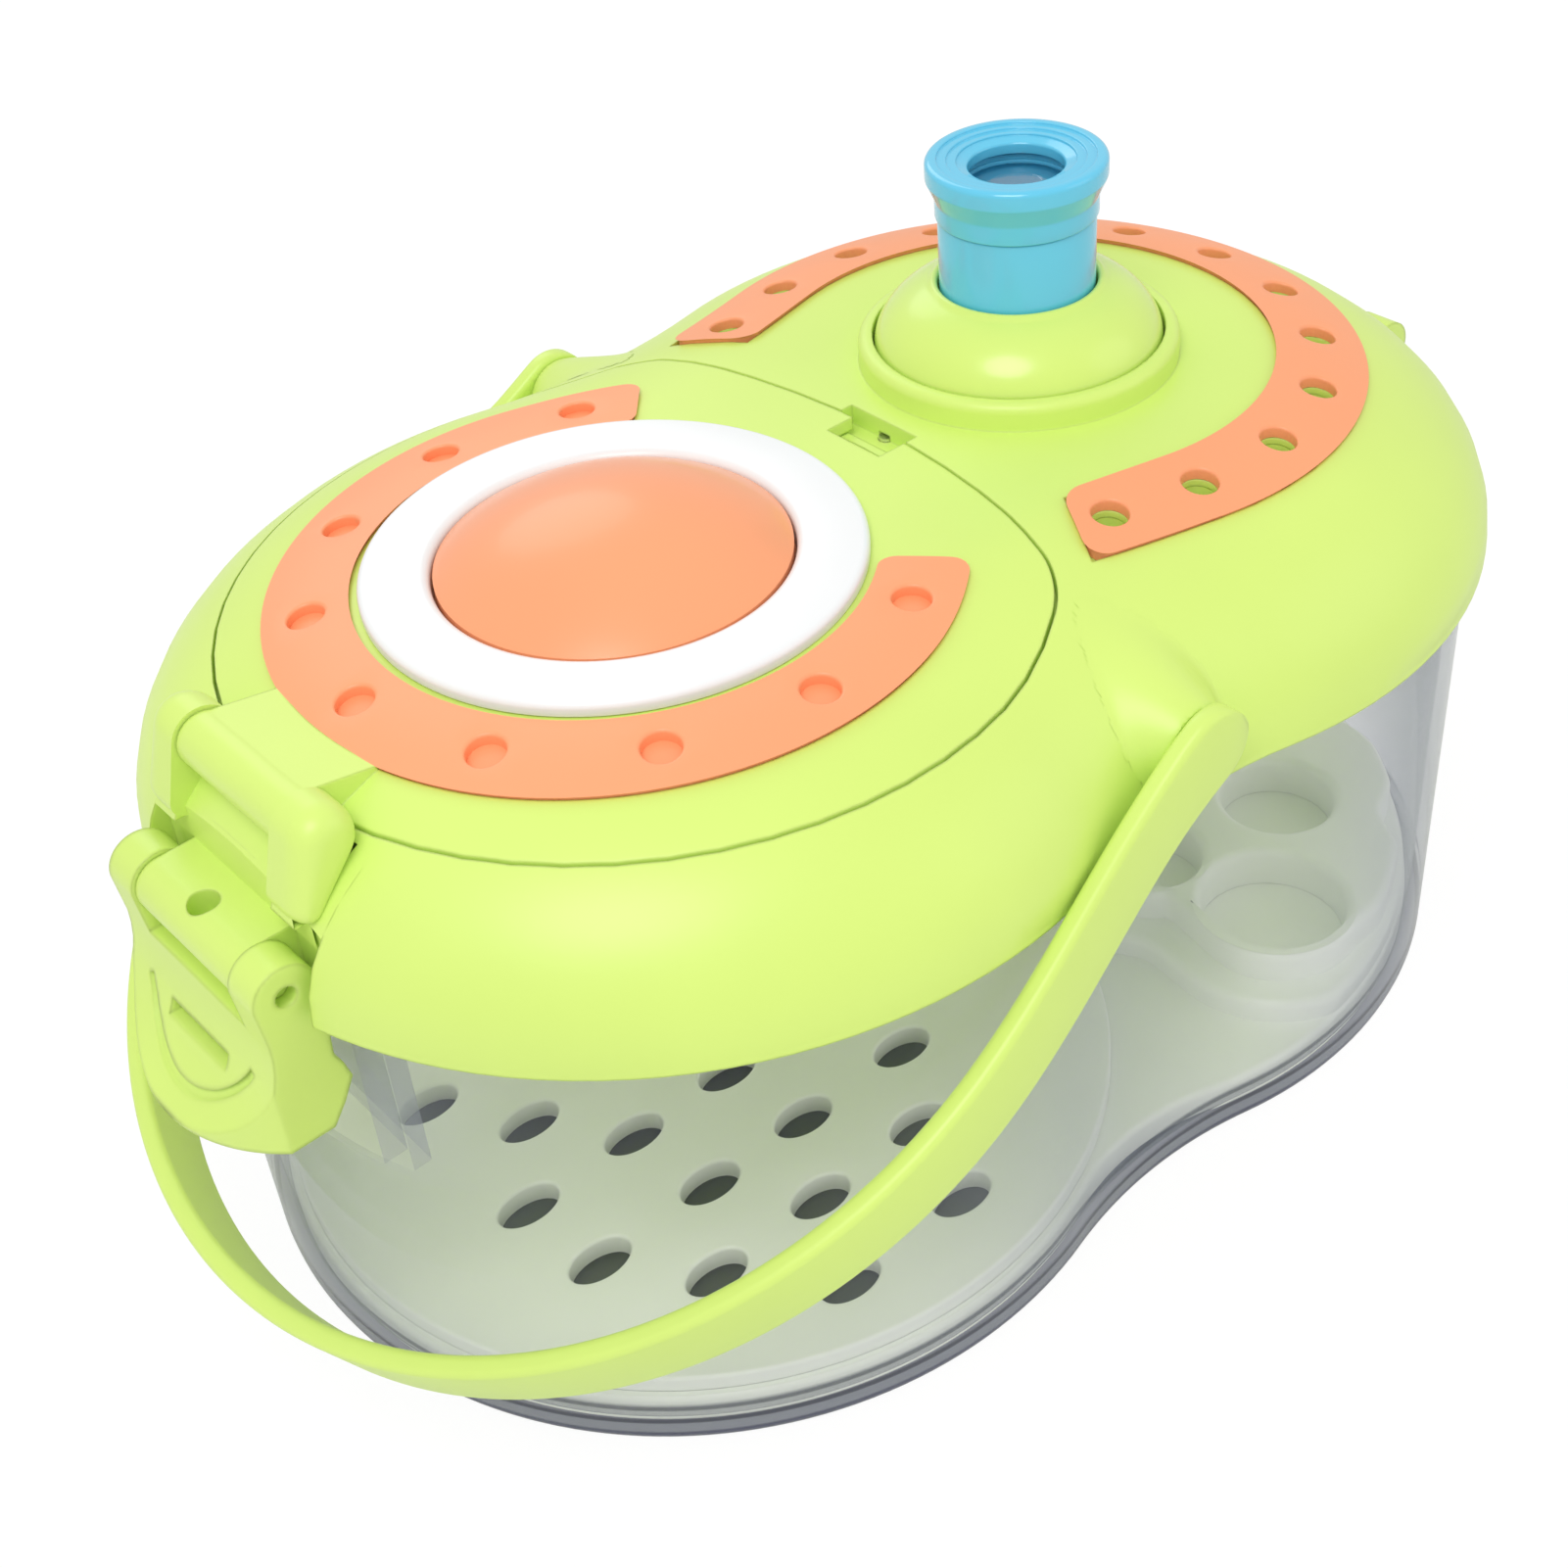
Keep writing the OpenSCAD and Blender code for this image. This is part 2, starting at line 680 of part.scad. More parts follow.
// Lid with its latch lugs, hatch opening, hinge ears, socket ring and handle bosses
module lid_shell() {
    low = skirt_z - over;
    inn = -lid_wall - jar_fit - jar_wall - rib_gap;
    color(lime)
        difference() {
            union() {
                difference() {
                    crown_shell();
                    for (s = [1, -1])
                        end_box(s, recess_x, recess_half, low, lid_top + over);
                }
                for (s = [1, -1])
                    intersection() {
                        difference() {
                            end_box(s, recess_x - lid_wall, recess_half + lid_wall,
                                skirt_z, lid_top);
                            end_box(s, recess_x, recess_half, low, lid_top + over);
                        }
                        end_crown(s);
                    }
                difference() {
                    sweep(lobe_r, waist_r, [
                        [-lid_wall / 2, rim_z + land_gap], [inn, rim_z + land_gap],
                        [inn, rim_z - rib_drop], [inn - rib_t, rim_z - rib_drop],
                        [inn - rib_t, rim_z + rib_rise / 2],
                        [-lid_wall - rib_t / 2, rim_z + rib_rise],
                        [-lid_wall / 2 - rib_t / 2, rim_z + rib_rise]]);
                    for (s = [1, -1])
                        end_box(s, recess_x - 3 * lid_wall - jar_wall, recess_half + 3 * lid_wall
                            + jar_wall, low - rib_drop, lid_top);
                }
                intersection() {
                    layer(-door_t / 2, door_t + ledge_gap + ledge_t);
                    hatch_prism(ledge_out, skirt_z, lid_top);
                }
                latch_lugs();
                hinge_ears();
                translate([scope_x, 0, 0])
                    rotate_extrude()
                        polygon(concat(
                            [[turret_r, lid_under], [socket_r, lid_under]],
                            [for (i = [0:shoulder_steps / 2])
                                [socket_r - socket_round + socket_round
                                    * cos(180 * i / shoulder_steps),
                                 lid_top + socket_up - socket_round + socket_round
                                    * sin(180 * i / shoulder_steps)]],
                            [[turret_r, lid_top + socket_up]]));
                for (a = [60, 180, 300])
                    screw_post(scope_x + retainer_screw_at * cos(a), retainer_screw_at * sin(a),
                        screw_r + boss_wall, retainer_z + retainer_t, lid_under + over);
                translate([0, 0, pivot_z])
                    cross_pair(boss_r, boss_near, boss_far);
            }
            hatch_prism(-ledge_in, low - rib_drop, lid_top + over);
            intersection() {
                hatch_prism(door_gap, skirt_z, lid_top + 2 * over);
                layer(over, door_t + ledge_gap);
            }
            translate([hinge_x, 0, hinge_z])
                cross(barrel_r + relief, barrel_half + knuckle_gap);
            translate([hinge_x, -barrel_half - knuckle_gap, hinge_z - barrel_r - relief / 2])
                cube([2 * barrel_r, 2 * barrel_half + 2 * knuckle_gap, 2 * barrel_r]);
            translate([hinge_x, 0, hinge_z])
                cross(stub_r + stub_fit, barrel_half + knuckle_gap + stub_len + knuckle_gap);
            translate([hatch_cut_x - notch_in, -notch_half, lid_under - over])
                cube([notch_out + notch_in, 2 * notch_half, 2 * lid_top_wall]);
            translate([scope_x, 0, lid_under - over])
                cylinder(r = turret_r + turn_gap, h = 3 * socket_up);
            intersection() {
                vent_arc(inlay_gap, shoulder_z, lid_top + 2 * over);
                layer(over, inlay_in);
            }
            for (p = vent_places())
                translate([p[0], p[1], skirt_z])
                    cylinder(r = vent_r, h = lid_h + over);
            for (a = [60, 180, 300])
                screw_post(scope_x + retainer_screw_at * cos(a), retainer_screw_at * sin(a),
                    screw_r + screw_fit, retainer_z, lid_under);
            translate([0, 0, pivot_z])
                cross_pair(bail_stud_r + pivot_fit, boss_near - over, boss_far + over);
        }
}

// Hinge lugs of the two latches, with their studs and moulding holes
module latch_lugs() {
    for (s = [0, 1])
        mirror([s, 0, 0])
            difference() {
                union() {
                    translate([recess_x - lid_wall / 2, -lug_half, pin_z - nose_r])
                        cube([pin_out + lid_wall / 2, 2 * lug_half, 2 * nose_r]);
                    translate([pin_x, lug_half, pin_z])
                        rotate([90, 0, 0])
                            rotate([0, 0, -90])
                                rotate_extrude(angle = 180)
                                    square([nose_r, 2 * lug_half]);
                    translate([pin_x, 0, pin_z])
                        cross(stud_r, lug_half + stud_len);
                }
                translate([pin_x, 0, pin_z + nose_r - lug_hole_deep])
                    cylinder(r = lug_hole_r, h = lug_hole_deep + over);
            }
}

// Two ears that carry the hatch door, drawn down into the lid's shoulder
module hinge_ears() {
    for (s = [0, 1])
        mirror([0, s, 0])
            translate([0, barrel_half + knuckle_gap, 0]) {
                translate([hinge_x, 0, hinge_z])
                    rotate([-90, 0, 0])
                        cylinder(r = knuckle_r, h = knuckle_t);
                translate([0, knuckle_t, 0])
                    rotate([90, 0, 0])
                        linear_extrude(knuckle_t)
                            polygon([for (p = ear_shares)
                                [hinge_x + p[0] * knuckle_r, hinge_z + p[1] * knuckle_r]]);
            }
}

// Orange arc let into the lid round the scope, with the vent holes
module vent_inlay() {
    color(orange)
        difference() {
            intersection() {
                vent_arc(0, shoulder_z, lid_top + over);
                layer(inlay_up, inlay_in);
            }
            for (p = vent_places())
                translate([p[0], p[1], skirt_z])
                    cylinder(r = vent_r, h = lid_h + 2 * over);
        }
}

// Flat ring that holds the turret's flange up under the lid
module turret_retainer() {
    color(lime)
        translate([scope_x, 0, retainer_z])
            difference() {
                cylinder(r = retainer_out, h = retainer_t);
                translate([0, 0, -over])
                    cylinder(r = retainer_in, h = retainer_t + 2 * over);
                for (a = [60, 180, 300])
                    screw_post(retainer_screw_at * cos(a), retainer_screw_at * sin(a),
                        screw_r + screw_fit, -over, retainer_t + over);
            }
}

// Three screws of the retainer
module retainer_screws() {
    color(steel)
        for (a = [60, 180, 300])
            screw(scope_x + retainer_screw_at * cos(a), retainer_screw_at * sin(a),
                retainer_z, lid_under - retainer_z - over / 2);
}

// Outer face of a latch flap at the height w below its hinge
function flap_face(w) = lip_u + (flap_out - lip_u)
    * pow(max(0, (w - lip_w) / (flap_h - lip_w)), flap_curve);

function flap_pts(inset, w0, w1) = [
    for (i = [0:flap_steps])
        let (w = w0 + (w1 - w0) * i / flap_steps)
            [flap_face(w) - inset, -w]];

// Body of a flap before its cavity is cut, hinge axis at the origin
module flap_body() {
    intersection() {
        side_plate(concat(
            [[-ear_r, 0]],
            [for (p = cheek_back_shares) [p[0] * ear_r, p[1] * flap_h]],
            [for (i = [flap_steps:-1:0]) flap_pts(0, lip_w, flap_h)[i]],
            [[ear_r, 0]]), latch_half);
        translate([flap_out - bulge_r, 0, -2 * flap_h])
            cylinder(r = bulge_r, h = 3 * flap_h);
    }
}

// Latch with two hinge ears, a hollow flap, its hook, a slit and a grip groove
module latch() {
    deep = flap_h - flap_floor;
    difference() {
        union() {
            difference() {
                union() {
                    flap_body();
                    for (s = [0, 1])
                        mirror([0, s, 0])
                            translate([0, latch_half, 0])
                                rotate([90, 0, 0])
                                    rotate_extrude(angle = 180)
                                        square([ear_r, ear_t]);
                }
                translate([-2 * ear_r, -latch_half + ear_t, -lip_w])
                    cube([4 * ear_r, 2 * (latch_half - ear_t), lip_w + 2 * ear_r]);
                intersection() {
                    side_plate(concat(
                        [[-4 * ear_r, -lip_w - flap_floor / 2]],
                        flap_pts(flap_wall, lip_w + flap_floor / 2, deep),
                        [[-4 * ear_r, -deep]]), latch_half - flap_wall);
                    translate([flap_out - bulge_r, 0, -2 * flap_h])
                        cylinder(r = bulge_r - flap_wall, h = 3 * flap_h);
                }
                translate([-4 * ear_r, -latch_half + ear_t, -lip_w - flap_floor])
                    cube([4 * ear_r, 2 * (latch_half - ear_t), lip_w]);
            }
            translate([-hook_in, -hook_half, -catch_low - hook_gap - hook_t])
                cube([hook_in + flap_face(catch_low) - flap_wall / 2, 2 * hook_half, hook_t]);
        }
        cross(stud_r + stud_fit, latch_half + over);
        translate([lip_u - flap_wall - over, -slit_half, -catch_low - hook_gap])
            cube([flap_out, 2 * slit_half, slit_h]);
        difference() {
            translate([0, 0, -groove_up])
                rotate([0, 90, 0])
                    ring_pie([0, 0], groove_r, groove_r + groove_w, -groove_a, groove_a,
                        0, flap_out + over);
            translate([-groove_d, 0, 0])
                flap_body();
        }
    }
}

module near_latch() {
    color(lime)
        mirror([1, 0, 0])
            translate([pin_x, 0, pin_z])
                latch();
}

module far_latch() {
    color(lime)
        translate([pin_x, 0, pin_z])
            latch();
}

// Half width inside the handle at the distance u from its pivot
function bail_in(u) = let (q = min(1, u / bail_mid), near = boss_far + pivot_gap)
    near + (bail_half - near) * q * q * (3 - 2 * q);

// Points of one side of the strap, grown outwards by g, from the pivot round to the middle
function bail_side(g) = concat(
    [for (i = [0:sway_steps - 1])
        let (u = bail_mid * i / sway_steps)
            [u, bail_in(u) + g]],
    [for (i = [0:bail_steps])
        let (t = 90 * i / bail_steps, a = bail_reach - bail_mid, b = bail_half,
            n = [cos(90 - t) * b, sin(90 - t) * a])
            [bail_mid + a * sin(t), b * cos(t)] + g * n / norm(n)]);

// Handle: one bowed strap with a round end and a stud at each side
module carry_handle() {
    near = boss_far + pivot_gap;
    inner = bail_side(0);
    outer = bail_side(strap_t);
    n = len(inner);
    color(lime)
        translate([0, 0, pivot_z])
            rotate([0, -bail_tilt, 0])
                mirror([1, 0, 0]) {
                    translate([0, 0, -strap_w / 2])
                        linear_extrude(strap_w)
                            polygon(concat(
                                inner, [for (i = [n - 2:-1:0]) [inner[i][0], -inner[i][1]]],
                                [for (i = [0:n - 1]) [outer[i][0], -outer[i][1]]],
                                [for (i = [n - 2:-1:0]) outer[i]]));
                    cross_pair(disc_r, near, near + strap_t);
                    cross_pair(bail_stud_r, boss_near, near + strap_t / 2);
                }
}

// Hatch door with its hinge barrel, screw posts and the pocket of the orange arc
module hatch_door() {
    color(lime)
        difference() {
            union() {
                intersection() {
                    layer(0, door_t);
                    hatch_prism(0, skirt_z, lid_top + over);
                }
                translate([hinge_x, 0, hinge_z])
                    cross(barrel_r, barrel_half);
                translate([hinge_x, 0, hinge_z])
                    cross(stub_r, barrel_half + knuckle_gap + stub_len);
                side_plate([for (p = web_shares)
                    [hinge_x + p[0] * barrel_r, hinge_z + p[1] * barrel_r]], barrel_half);
                for (a = [60, 180, 300])
                    screw_post(light_x + housing_screw_at * cos(a), housing_screw_at * sin(a),
                        screw_r + boss_wall, housing_top, lid_top - door_t / 2);
            }
            translate([light_x, 0, skirt_z])
                cylinder(r = bezel_neck + bezel_gap, h = 2 * lid_h);
            intersection() {
                hatch_arc(inlay_gap, skirt_z, lid_top + 2 * over);
                layer(over, inlay_in);
            }
            for (a = [60, 180, 300])
                screw_post(light_x + housing_screw_at * cos(a), housing_screw_at * sin(a),
                    screw_r + screw_fit, housing_top - over, lid_top - inlay_in - over);
            for (s = [0, 1])
                mirror([0, s, 0])
                    translate([hinge_x - over, barrel_half, skirt_z])
                        difference() {
                            cube([over + knuckle_r + knuckle_gap, knuckle_t + 2 * knuckle_gap,
                                lid_h + over]);
                            translate([over, 0, hinge_z - skirt_z])
                                rotate([-90, 0, 0])
                                    cylinder(r = stub_r, h = stub_len + knuckle_gap);
                        }
            translate([hatch_cut_x - notch_deep, -notch_half, skirt_z])
                cube([2 * notch_deep, 2 * notch_half - notch_tab, 2 * lid_h]);
        }
}

// Orange arc let into the hatch, with blind holes
module hatch_inlay() {
    color(orange)
        difference() {
            intersection() {
                hatch_arc(0, skirt_z, lid_top + over);
                layer(inlay_up, inlay_in);
            }
            intersection() {
                for (i = [0:hatch_c_count - 1])
                    let (a = 180 + (i - (hatch_c_count - 1) / 2) * hatch_c_step)
                        translate([light_x + hatch_c_mid * cos(a), hatch_c_mid * sin(a), skirt_z])
                            cylinder(r = vent_r, h = lid_h + 2 * over);
                layer(2 * over, inlay_skin);
            }
        }
}

// White light ring that frames the push button
module lamp_bezel() {
    up = lid_top + bezel_up;
    n = shoulder_steps;
    color(white)
        translate([light_x, 0, 0])
            rotate_extrude()
                polygon(concat(
                    [[bezel_open, up - lip_t - bezel_up], [button_r + flange_out + bezel_gap,
                        up - lip_t - bezel_up], [button_r + flange_out + bezel_gap, housing_top],
                     [bezel_neck, housing_top], [bezel_neck, lid_top], [bezel_r, lid_top]],
                    [for (i = [0:n / 2]) [bezel_r - bezel_round + bezel_round * cos(180 * i / n),
                        up - bezel_round + bezel_round * sin(180 * i / n)]],
                    [for (i = [n / 2:n]) [bezel_open + bezel_round + bezel_round
                        * cos(180 * i / n), up - bezel_round + bezel_round
                        * sin(180 * i / n)]]));
}

// Cup under the hatch for the board, with the battery well below it
module lamp_housing() {
    well_low = housing_floor - cell_h - 2 * contact_t - seat_gap - cover_t;
    color(white)
        translate([light_x, 0, 0])
            difference() {
                union() {
                    translate([0, 0, housing_floor])
                        cylinder(r = housing_r, h = housing_top - housing_floor);
                    translate([0, 0, housing_top - housing_wall])
                        cylinder(r = housing_flange, h = housing_wall);
                    translate([0, 0, well_low])
                        cylinder(r = well_r, h = housing_floor - well_low + housing_wall / 2);
                }
                translate([0, 0, housing_floor + housing_wall])
                    cylinder(r = housing_r - housing_wall, h = housing_top);
                difference() {
                    translate([0, 0, well_low - over])
                        cylinder(r = well_r - well_wall, h = housing_floor - well_low + over);
                    translate([0, 0, well_low + cover_t])
                        cylinder(r = screw_r + screw_fit + boss_wall / 2, h = housing_top);
                }
                translate([0, 0, well_low])
                    cylinder(r = screw_r + screw_fit, h = housing_floor - well_low);
                for (a = [60, 180, 300])
                    screw_post(housing_screw_at * cos(a), housing_screw_at * sin(a),
                        screw_r + screw_fit, housing_floor, housing_top + over);
            }
    color(white)
        for (a = [30, 150, 270])
            screw_post(light_x + board_post_at * cos(a), board_post_at * sin(a), screw_r,
                housing_floor + housing_wall / 2, board_z);
}

// Round circuit board
module lamp_board() {
    color("seagreen")
        translate([light_x, 0, board_z])
            cylinder(r = board_r, h = board_t);
}

// Six lamps that shine up into the white ring
module lamp_leds() {
    color("lightyellow")
        for (i = [0:led_count - 1])
            translate([light_x + led_at * cos(360 * i / led_count),
                led_at * sin(360 * i / led_count), board_z + board_t])
                cylinder(r = led_r, h = led_h);
}

// Low push switch in the middle of the board
module push_switch() {
    color("dimgray") {
        translate([light_x - switch_w / 2, -switch_w / 2, board_z + board_t])
            cube([switch_w, switch_w, switch_h]);
        translate([light_x, 0, board_z + board_t + switch_h / 2])
            cylinder(r = plunger_r, h = plunger_h + switch_h / 2);
    }
}

// Three button cells in the well
module button_cells() {
    color(steel)
        for (a = [0, 120, 240])
            translate([light_x + cell_at * cos(a), cell_at * sin(a),
                housing_floor - contact_t - seat_gap - cell_h])
                cylinder(r = cell_r, h = cell_h);
}

// Sprung contact plates above and below the cells
module cell_contacts() {
    color(steel)
        for (a = [0, 120, 240])
            for (z = [housing_floor - contact_t - seat_gap / 2,
                housing_floor - cell_h - 2 * contact_t - 3 * seat_gap / 2])
                translate([light_x + cell_at * cos(a), cell_at * sin(a), z])
                    cylinder(r = cell_r / 2, h = contact_t);
}

// Round cover that closes the battery well
module battery_cover() {
    well_low = housing_floor - cell_h - 2 * contact_t - seat_gap - cover_t;
    color(white)
        translate([light_x, 0, well_low - seat_gap])
            difference() {
                cylinder(r = well_r - well_wall - cover_gap, h = cover_t - seat_gap);
                translate([0, 0, -over])
                    cylinder(r = screw_r + screw_fit, h = cover_t + 2 * over);
            }
}

// Screw of the battery cover
module battery_cover_screw() {
    well_low = housing_floor - cell_h - 2 * contact_t - seat_gap - cover_t;
    color(steel)
        screw(light_x, 0, well_low - seat_gap, cell_h);
}

// Three screws that hold the housing under the door
module housing_screws() {
    color(steel)
        for (a = [60, 180, 300])
            screw(light_x + housing_screw_at * cos(a), housing_screw_at * sin(a),
                housing_top - housing_wall,
                housing_wall + bezel_low - inlay_in - 3 * over / 2);
}

// Sphere radius of a dome from its edge radius and its rise
function dome_r(edge, rise) = (edge * edge + rise * rise) / (2 * rise);

// Points of a dome's arc from its edge at z up to the axis
function dome_pts(edge, rise, z, n) = let (r = dome_r(edge, rise), a = asin(edge / r))
    [for (i = [0:n]) [r * sin(a * (n - i) / n), z + rise - r + r * cos(a * (n - i) / n)]];

// Orange domed push button with its flange, post and spring collar
module button_dome() {
    edge_z = lid_top + bezel_up - bezel_round / 2;
    low = lid_top - lip_t - bezel_gap - flange_t;
    inner = dome_pts(button_r - dome_t, button_rise - dome_t / 2, edge_z - dome_t / 2,
        shoulder_steps);
    color(orange)
        translate([light_x, 0, 0]) {
            rotate_extrude()
                polygon(concat(
                    [[button_r - dome_t, low], [button_r + flange_out, low],
                     [button_r + flange_out, low + flange_t], [button_r, low + flange_t]],
                    dome_pts(button_r, button_rise, edge_z, shoulder_steps),
                    [for (i = [shoulder_steps:-1:0]) inner[i]]));
            translate([0, 0, post_z])
                cylinder(r = post_r, h = edge_z + button_rise - dome_t - post_z);
            translate([0, 0, collar_z])
                cylinder(r = collar_r, h = collar_t);
        }
}

// Coil spring between the board and the button's collar
module button_spring() {
    z0 = board_z + board_t + wire_r + seat_gap;
    z1 = collar_z - wire_r - seat_gap;
    n = spring_turns * spring_ring;
    rise = (z1 - z0) / n;
    pts = [for (i = [0:n]) let (a = 360 * i / spring_ring)
        for (j = [0:spring_sides - 1]) let (b = 360 * j / spring_sides)
            [(spring_r + wire_r * cos(b)) * cos(a), (spring_r + wire_r * cos(b)) * sin(a),
             z0 + rise * i + wire_r * sin(b)]];
    sides = [for (i = [0:n - 1]) for (j = [0:spring_sides - 1])
        let (k = i * spring_sides + j, m = i * spring_sides + (j + 1) % spring_sides)
            each [[k, k + spring_sides, m], [m, k + spring_sides, m + spring_sides]]];
    caps = [for (j = [1:spring_sides - 2])
        each [[0, j, j + 1], [n * spring_sides, n * spring_sides + j + 1,
            n * spring_sides + j]]];
    color(steel)
        translate([light_x, 0, 0])
            polyhedron(points = pts, faces = concat(sides, caps));
}

// Points of the turret's dome from its base to the tube's hole
function turret_pts(r, rise, hole, n) = let (a = acos(hole / r))
    [for (i = [0:n]) [r * cos(a * i / n), turret_base + rise * sin(a * i / n)]];

// Domed turret that turns in the lid and guides the eyepiece tube
module scope_turret() {
    hole = tube_r + slide_gap;
    low = lid_under - turn_gap - turret_flange_t;
    outer = turret_pts(turret_r, turret_rise, hole, shoulder_steps);
    inner = turret_pts(turret_r - turret_wall, turret_rise - turret_wall, hole + sleeve_wall,
        shoulder_steps);
    color(lime)
        translate([scope_x, 0, 0])
            rotate_extrude()
                polygon(concat(
                    [[turret_r - turret_wall, low], [turret_r + turret_flange, low],
                     [turret_r + turret_flange, low + turret_flange_t],
                     [turret_r, low + turret_flange_t]],
                    outer,
                    [[hole, lid_top - sleeve_low], [hole + sleeve_wall, lid_top - sleeve_low]],
                    [for (i = [shoulder_steps:-1:0]) inner[i]]));
}

// Blue tube that slides in the turret, with lens seats at both ends
module eyepiece_tube() {
    top = eyecup_top - eyecup_h;
    low = lid_top - foot_drop;
    bore = tube_r - tube_wall;
    color(sky)
        translate([scope_x, 0, 0])
            rotate_extrude()
                polygon([
                    [bore, low], [tube_r + foot_out, low], [tube_r + foot_out, low + foot_t],
                    [tube_r, low + foot_t], [tube_r, top], [tube_r - spigot_in, top],
                    [tube_r - spigot_in, top + spigot_h], [eye_r, top + spigot_h],
                    [eye_r, eye_z], [eye_r - lens_lip, eye_z],
                    [eye_r - lens_lip, eye_z - lens_lip], [bore, eye_z - 2 * lens_lip],
                    [bore, obj_z + 2 * lens_lip + lens_t], [bore - lens_lip, obj_z + lens_lip
                        + lens_t], [bore - lens_lip, obj_z + lens_t], [bore, obj_z + lens_t]]);
}

// Flared eyecup with shallow rings round its sight hole
module eyecup() {
    bottom = eyecup_top - eyecup_h + seat_gap;
    fl = eyecup_top - eyecup_flange_h;
    rise = eyecup_flange_h / 2;
    bore = tube_r - spigot_in + stud_fit;
    roof = eyecup_top - eyecup_h + spigot_h + seat_gap;
    n = ridge_count;
    span = (eyecup_r - 3 * lens_lip - eyecup_hole) / n;
    color(sky)
        translate([scope_x, 0, 0])
            rotate_extrude()
                polygon(concat(
                    [[bore, bottom], [tube_r + eyecup_skirt, bottom],
                     [tube_r + eyecup_skirt, fl]],
                    [for (i = [0:shoulder_steps]) [eyecup_r - rise + rise
                        * cos(-60 + 150 * i / shoulder_steps), fl + rise + rise
                        * sin(-60 + 150 * i / shoulder_steps)]],
                    [for (i = [0:n - 1], j = [0, 1])
                        [eyecup_r - 3 * lens_lip - span * (i + j / 2),
                         eyecup_top - dish_deep * (i + j / 2) / n - (j + 1) * ridge_deep]],
                    [[eyecup_hole, eyecup_top - dish_deep - lens_lip], [eyecup_hole, roof],
                     [bore, roof]]));
}

// Convex lens of the radius r standing on z
module lens(r, z) {
    edge = (lens_t - lens_gap) / 2;
    top = dome_pts(r, lens_bulge / 2, 0, shoulder_steps);
    color([0.85, 0.92, 0.96, 0.35])
        translate([scope_x, 0, z + lens_t / 2])
            rotate_extrude()
                polygon(concat(
                    [for (p = top) [p[0], p[1] + edge]],
                    [for (i = [shoulder_steps:-1:0]) [top[i][0], -top[i][1] - edge]]));
}

// Ring that snaps in over a lens
module snap_ring(r, z, h) {
    color(sky)
        translate([scope_x, 0, z])
            difference() {
                cylinder(r = r, h = h);
                translate([0, 0, -over])
                    cylinder(r = r - ring_wall, h = h + 2 * over);
            }
}

module eye_lens() {
    lens(eye_r - lens_fit, eye_z);
}

module eye_lens_ring() {
    snap_ring(eye_r - lens_fit / 2, eye_z + lens_t, ring_t);
}

module objective_lens() {
    lens(tube_r - tube_wall - lens_fit, obj_z);
}

module objective_ring() {
    snap_ring(tube_r - tube_wall - lens_fit / 2, obj_z - ring_t, ring_t);
}

container();
play_insert();
lid_shell();
vent_inlay();
turret_retainer();
retainer_screws();
near_latch();
far_latch();
carry_handle();
hatch_door();
hatch_inlay();
lamp_bezel();
lamp_housing();
lamp_board();
lamp_leds();
push_switch();
button_cells();
cell_contacts();
battery_cover();
battery_cover_screw();
housing_screws();
button_dome();
button_spring();
scope_turret();
eyepiece_tube();
eyecup();
eye_lens();
eye_lens_ring();
objective_lens();
objective_ring();
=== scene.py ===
import json
import math
import bpy
import bmesh
import numpy as np
from mathutils import Matrix, Vector
from mathutils.geometry import delaunay_2d_cdt


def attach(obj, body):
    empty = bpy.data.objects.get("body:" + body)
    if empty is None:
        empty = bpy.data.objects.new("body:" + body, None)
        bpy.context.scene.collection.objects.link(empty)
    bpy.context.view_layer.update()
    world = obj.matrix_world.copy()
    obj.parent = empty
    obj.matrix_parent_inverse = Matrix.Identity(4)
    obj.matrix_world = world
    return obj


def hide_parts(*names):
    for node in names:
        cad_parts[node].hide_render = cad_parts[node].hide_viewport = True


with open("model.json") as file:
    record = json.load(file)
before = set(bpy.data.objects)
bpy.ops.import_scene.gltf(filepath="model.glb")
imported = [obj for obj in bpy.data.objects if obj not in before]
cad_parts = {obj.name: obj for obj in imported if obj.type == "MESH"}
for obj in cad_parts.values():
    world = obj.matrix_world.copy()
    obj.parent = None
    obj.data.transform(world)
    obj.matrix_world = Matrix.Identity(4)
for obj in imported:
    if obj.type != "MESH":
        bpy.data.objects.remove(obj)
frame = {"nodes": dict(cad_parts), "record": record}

print("bug jar: frame loaded")
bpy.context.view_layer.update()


def mm(value):
    # Blender works in metres, the settings of the pieces are in millimetres
    return np.asarray(value, float) / 1000


# The lid's two-lobed outline and crowned top, the same driving sizes as the solids
lid = dict(lobeX=39.52, lobeR=79.0, waistR=81.55, skirtZ=84.0, straight=1.0, shoulderIn=42.0, top=113.0,
           hatchCentre=-42.7, scopeCentre=41.82)
lid["waistY"] = math.sqrt((lid["lobeR"] + lid["waistR"]) ** 2 - lid["lobeX"] ** 2)
lid["drop"] = lid["top"] - lid["skirtZ"] - lid["straight"]


def inward(x, y):
    # Distance inside the outline: lobe radius less the distance to the lobe's centre, or in the wedge
    # between the lobes the distance to the waist's centre less the waist radius
    ax, ay = np.abs(x), np.abs(y)
    lobe = lid["lobeR"] - np.hypot(ax - lid["lobeX"], ay)
    waist = np.hypot(ax, ay - lid["waistY"]) - lid["waistR"]
    wedge = ax * lid["waistY"] + ay * lid["lobeX"] < lid["lobeX"] * lid["waistY"]
    return np.where(wedge, waist, lobe)


def crownHeight(x, y):
    # Quarter ellipse over the shoulder, flat further in
    share = np.clip((lid["shoulderIn"] - inward(x, y)) / lid["shoulderIn"], 0, 1)
    return lid["skirtZ"] + lid["straight"] + lid["drop"] * np.sqrt(1 - share ** 2)


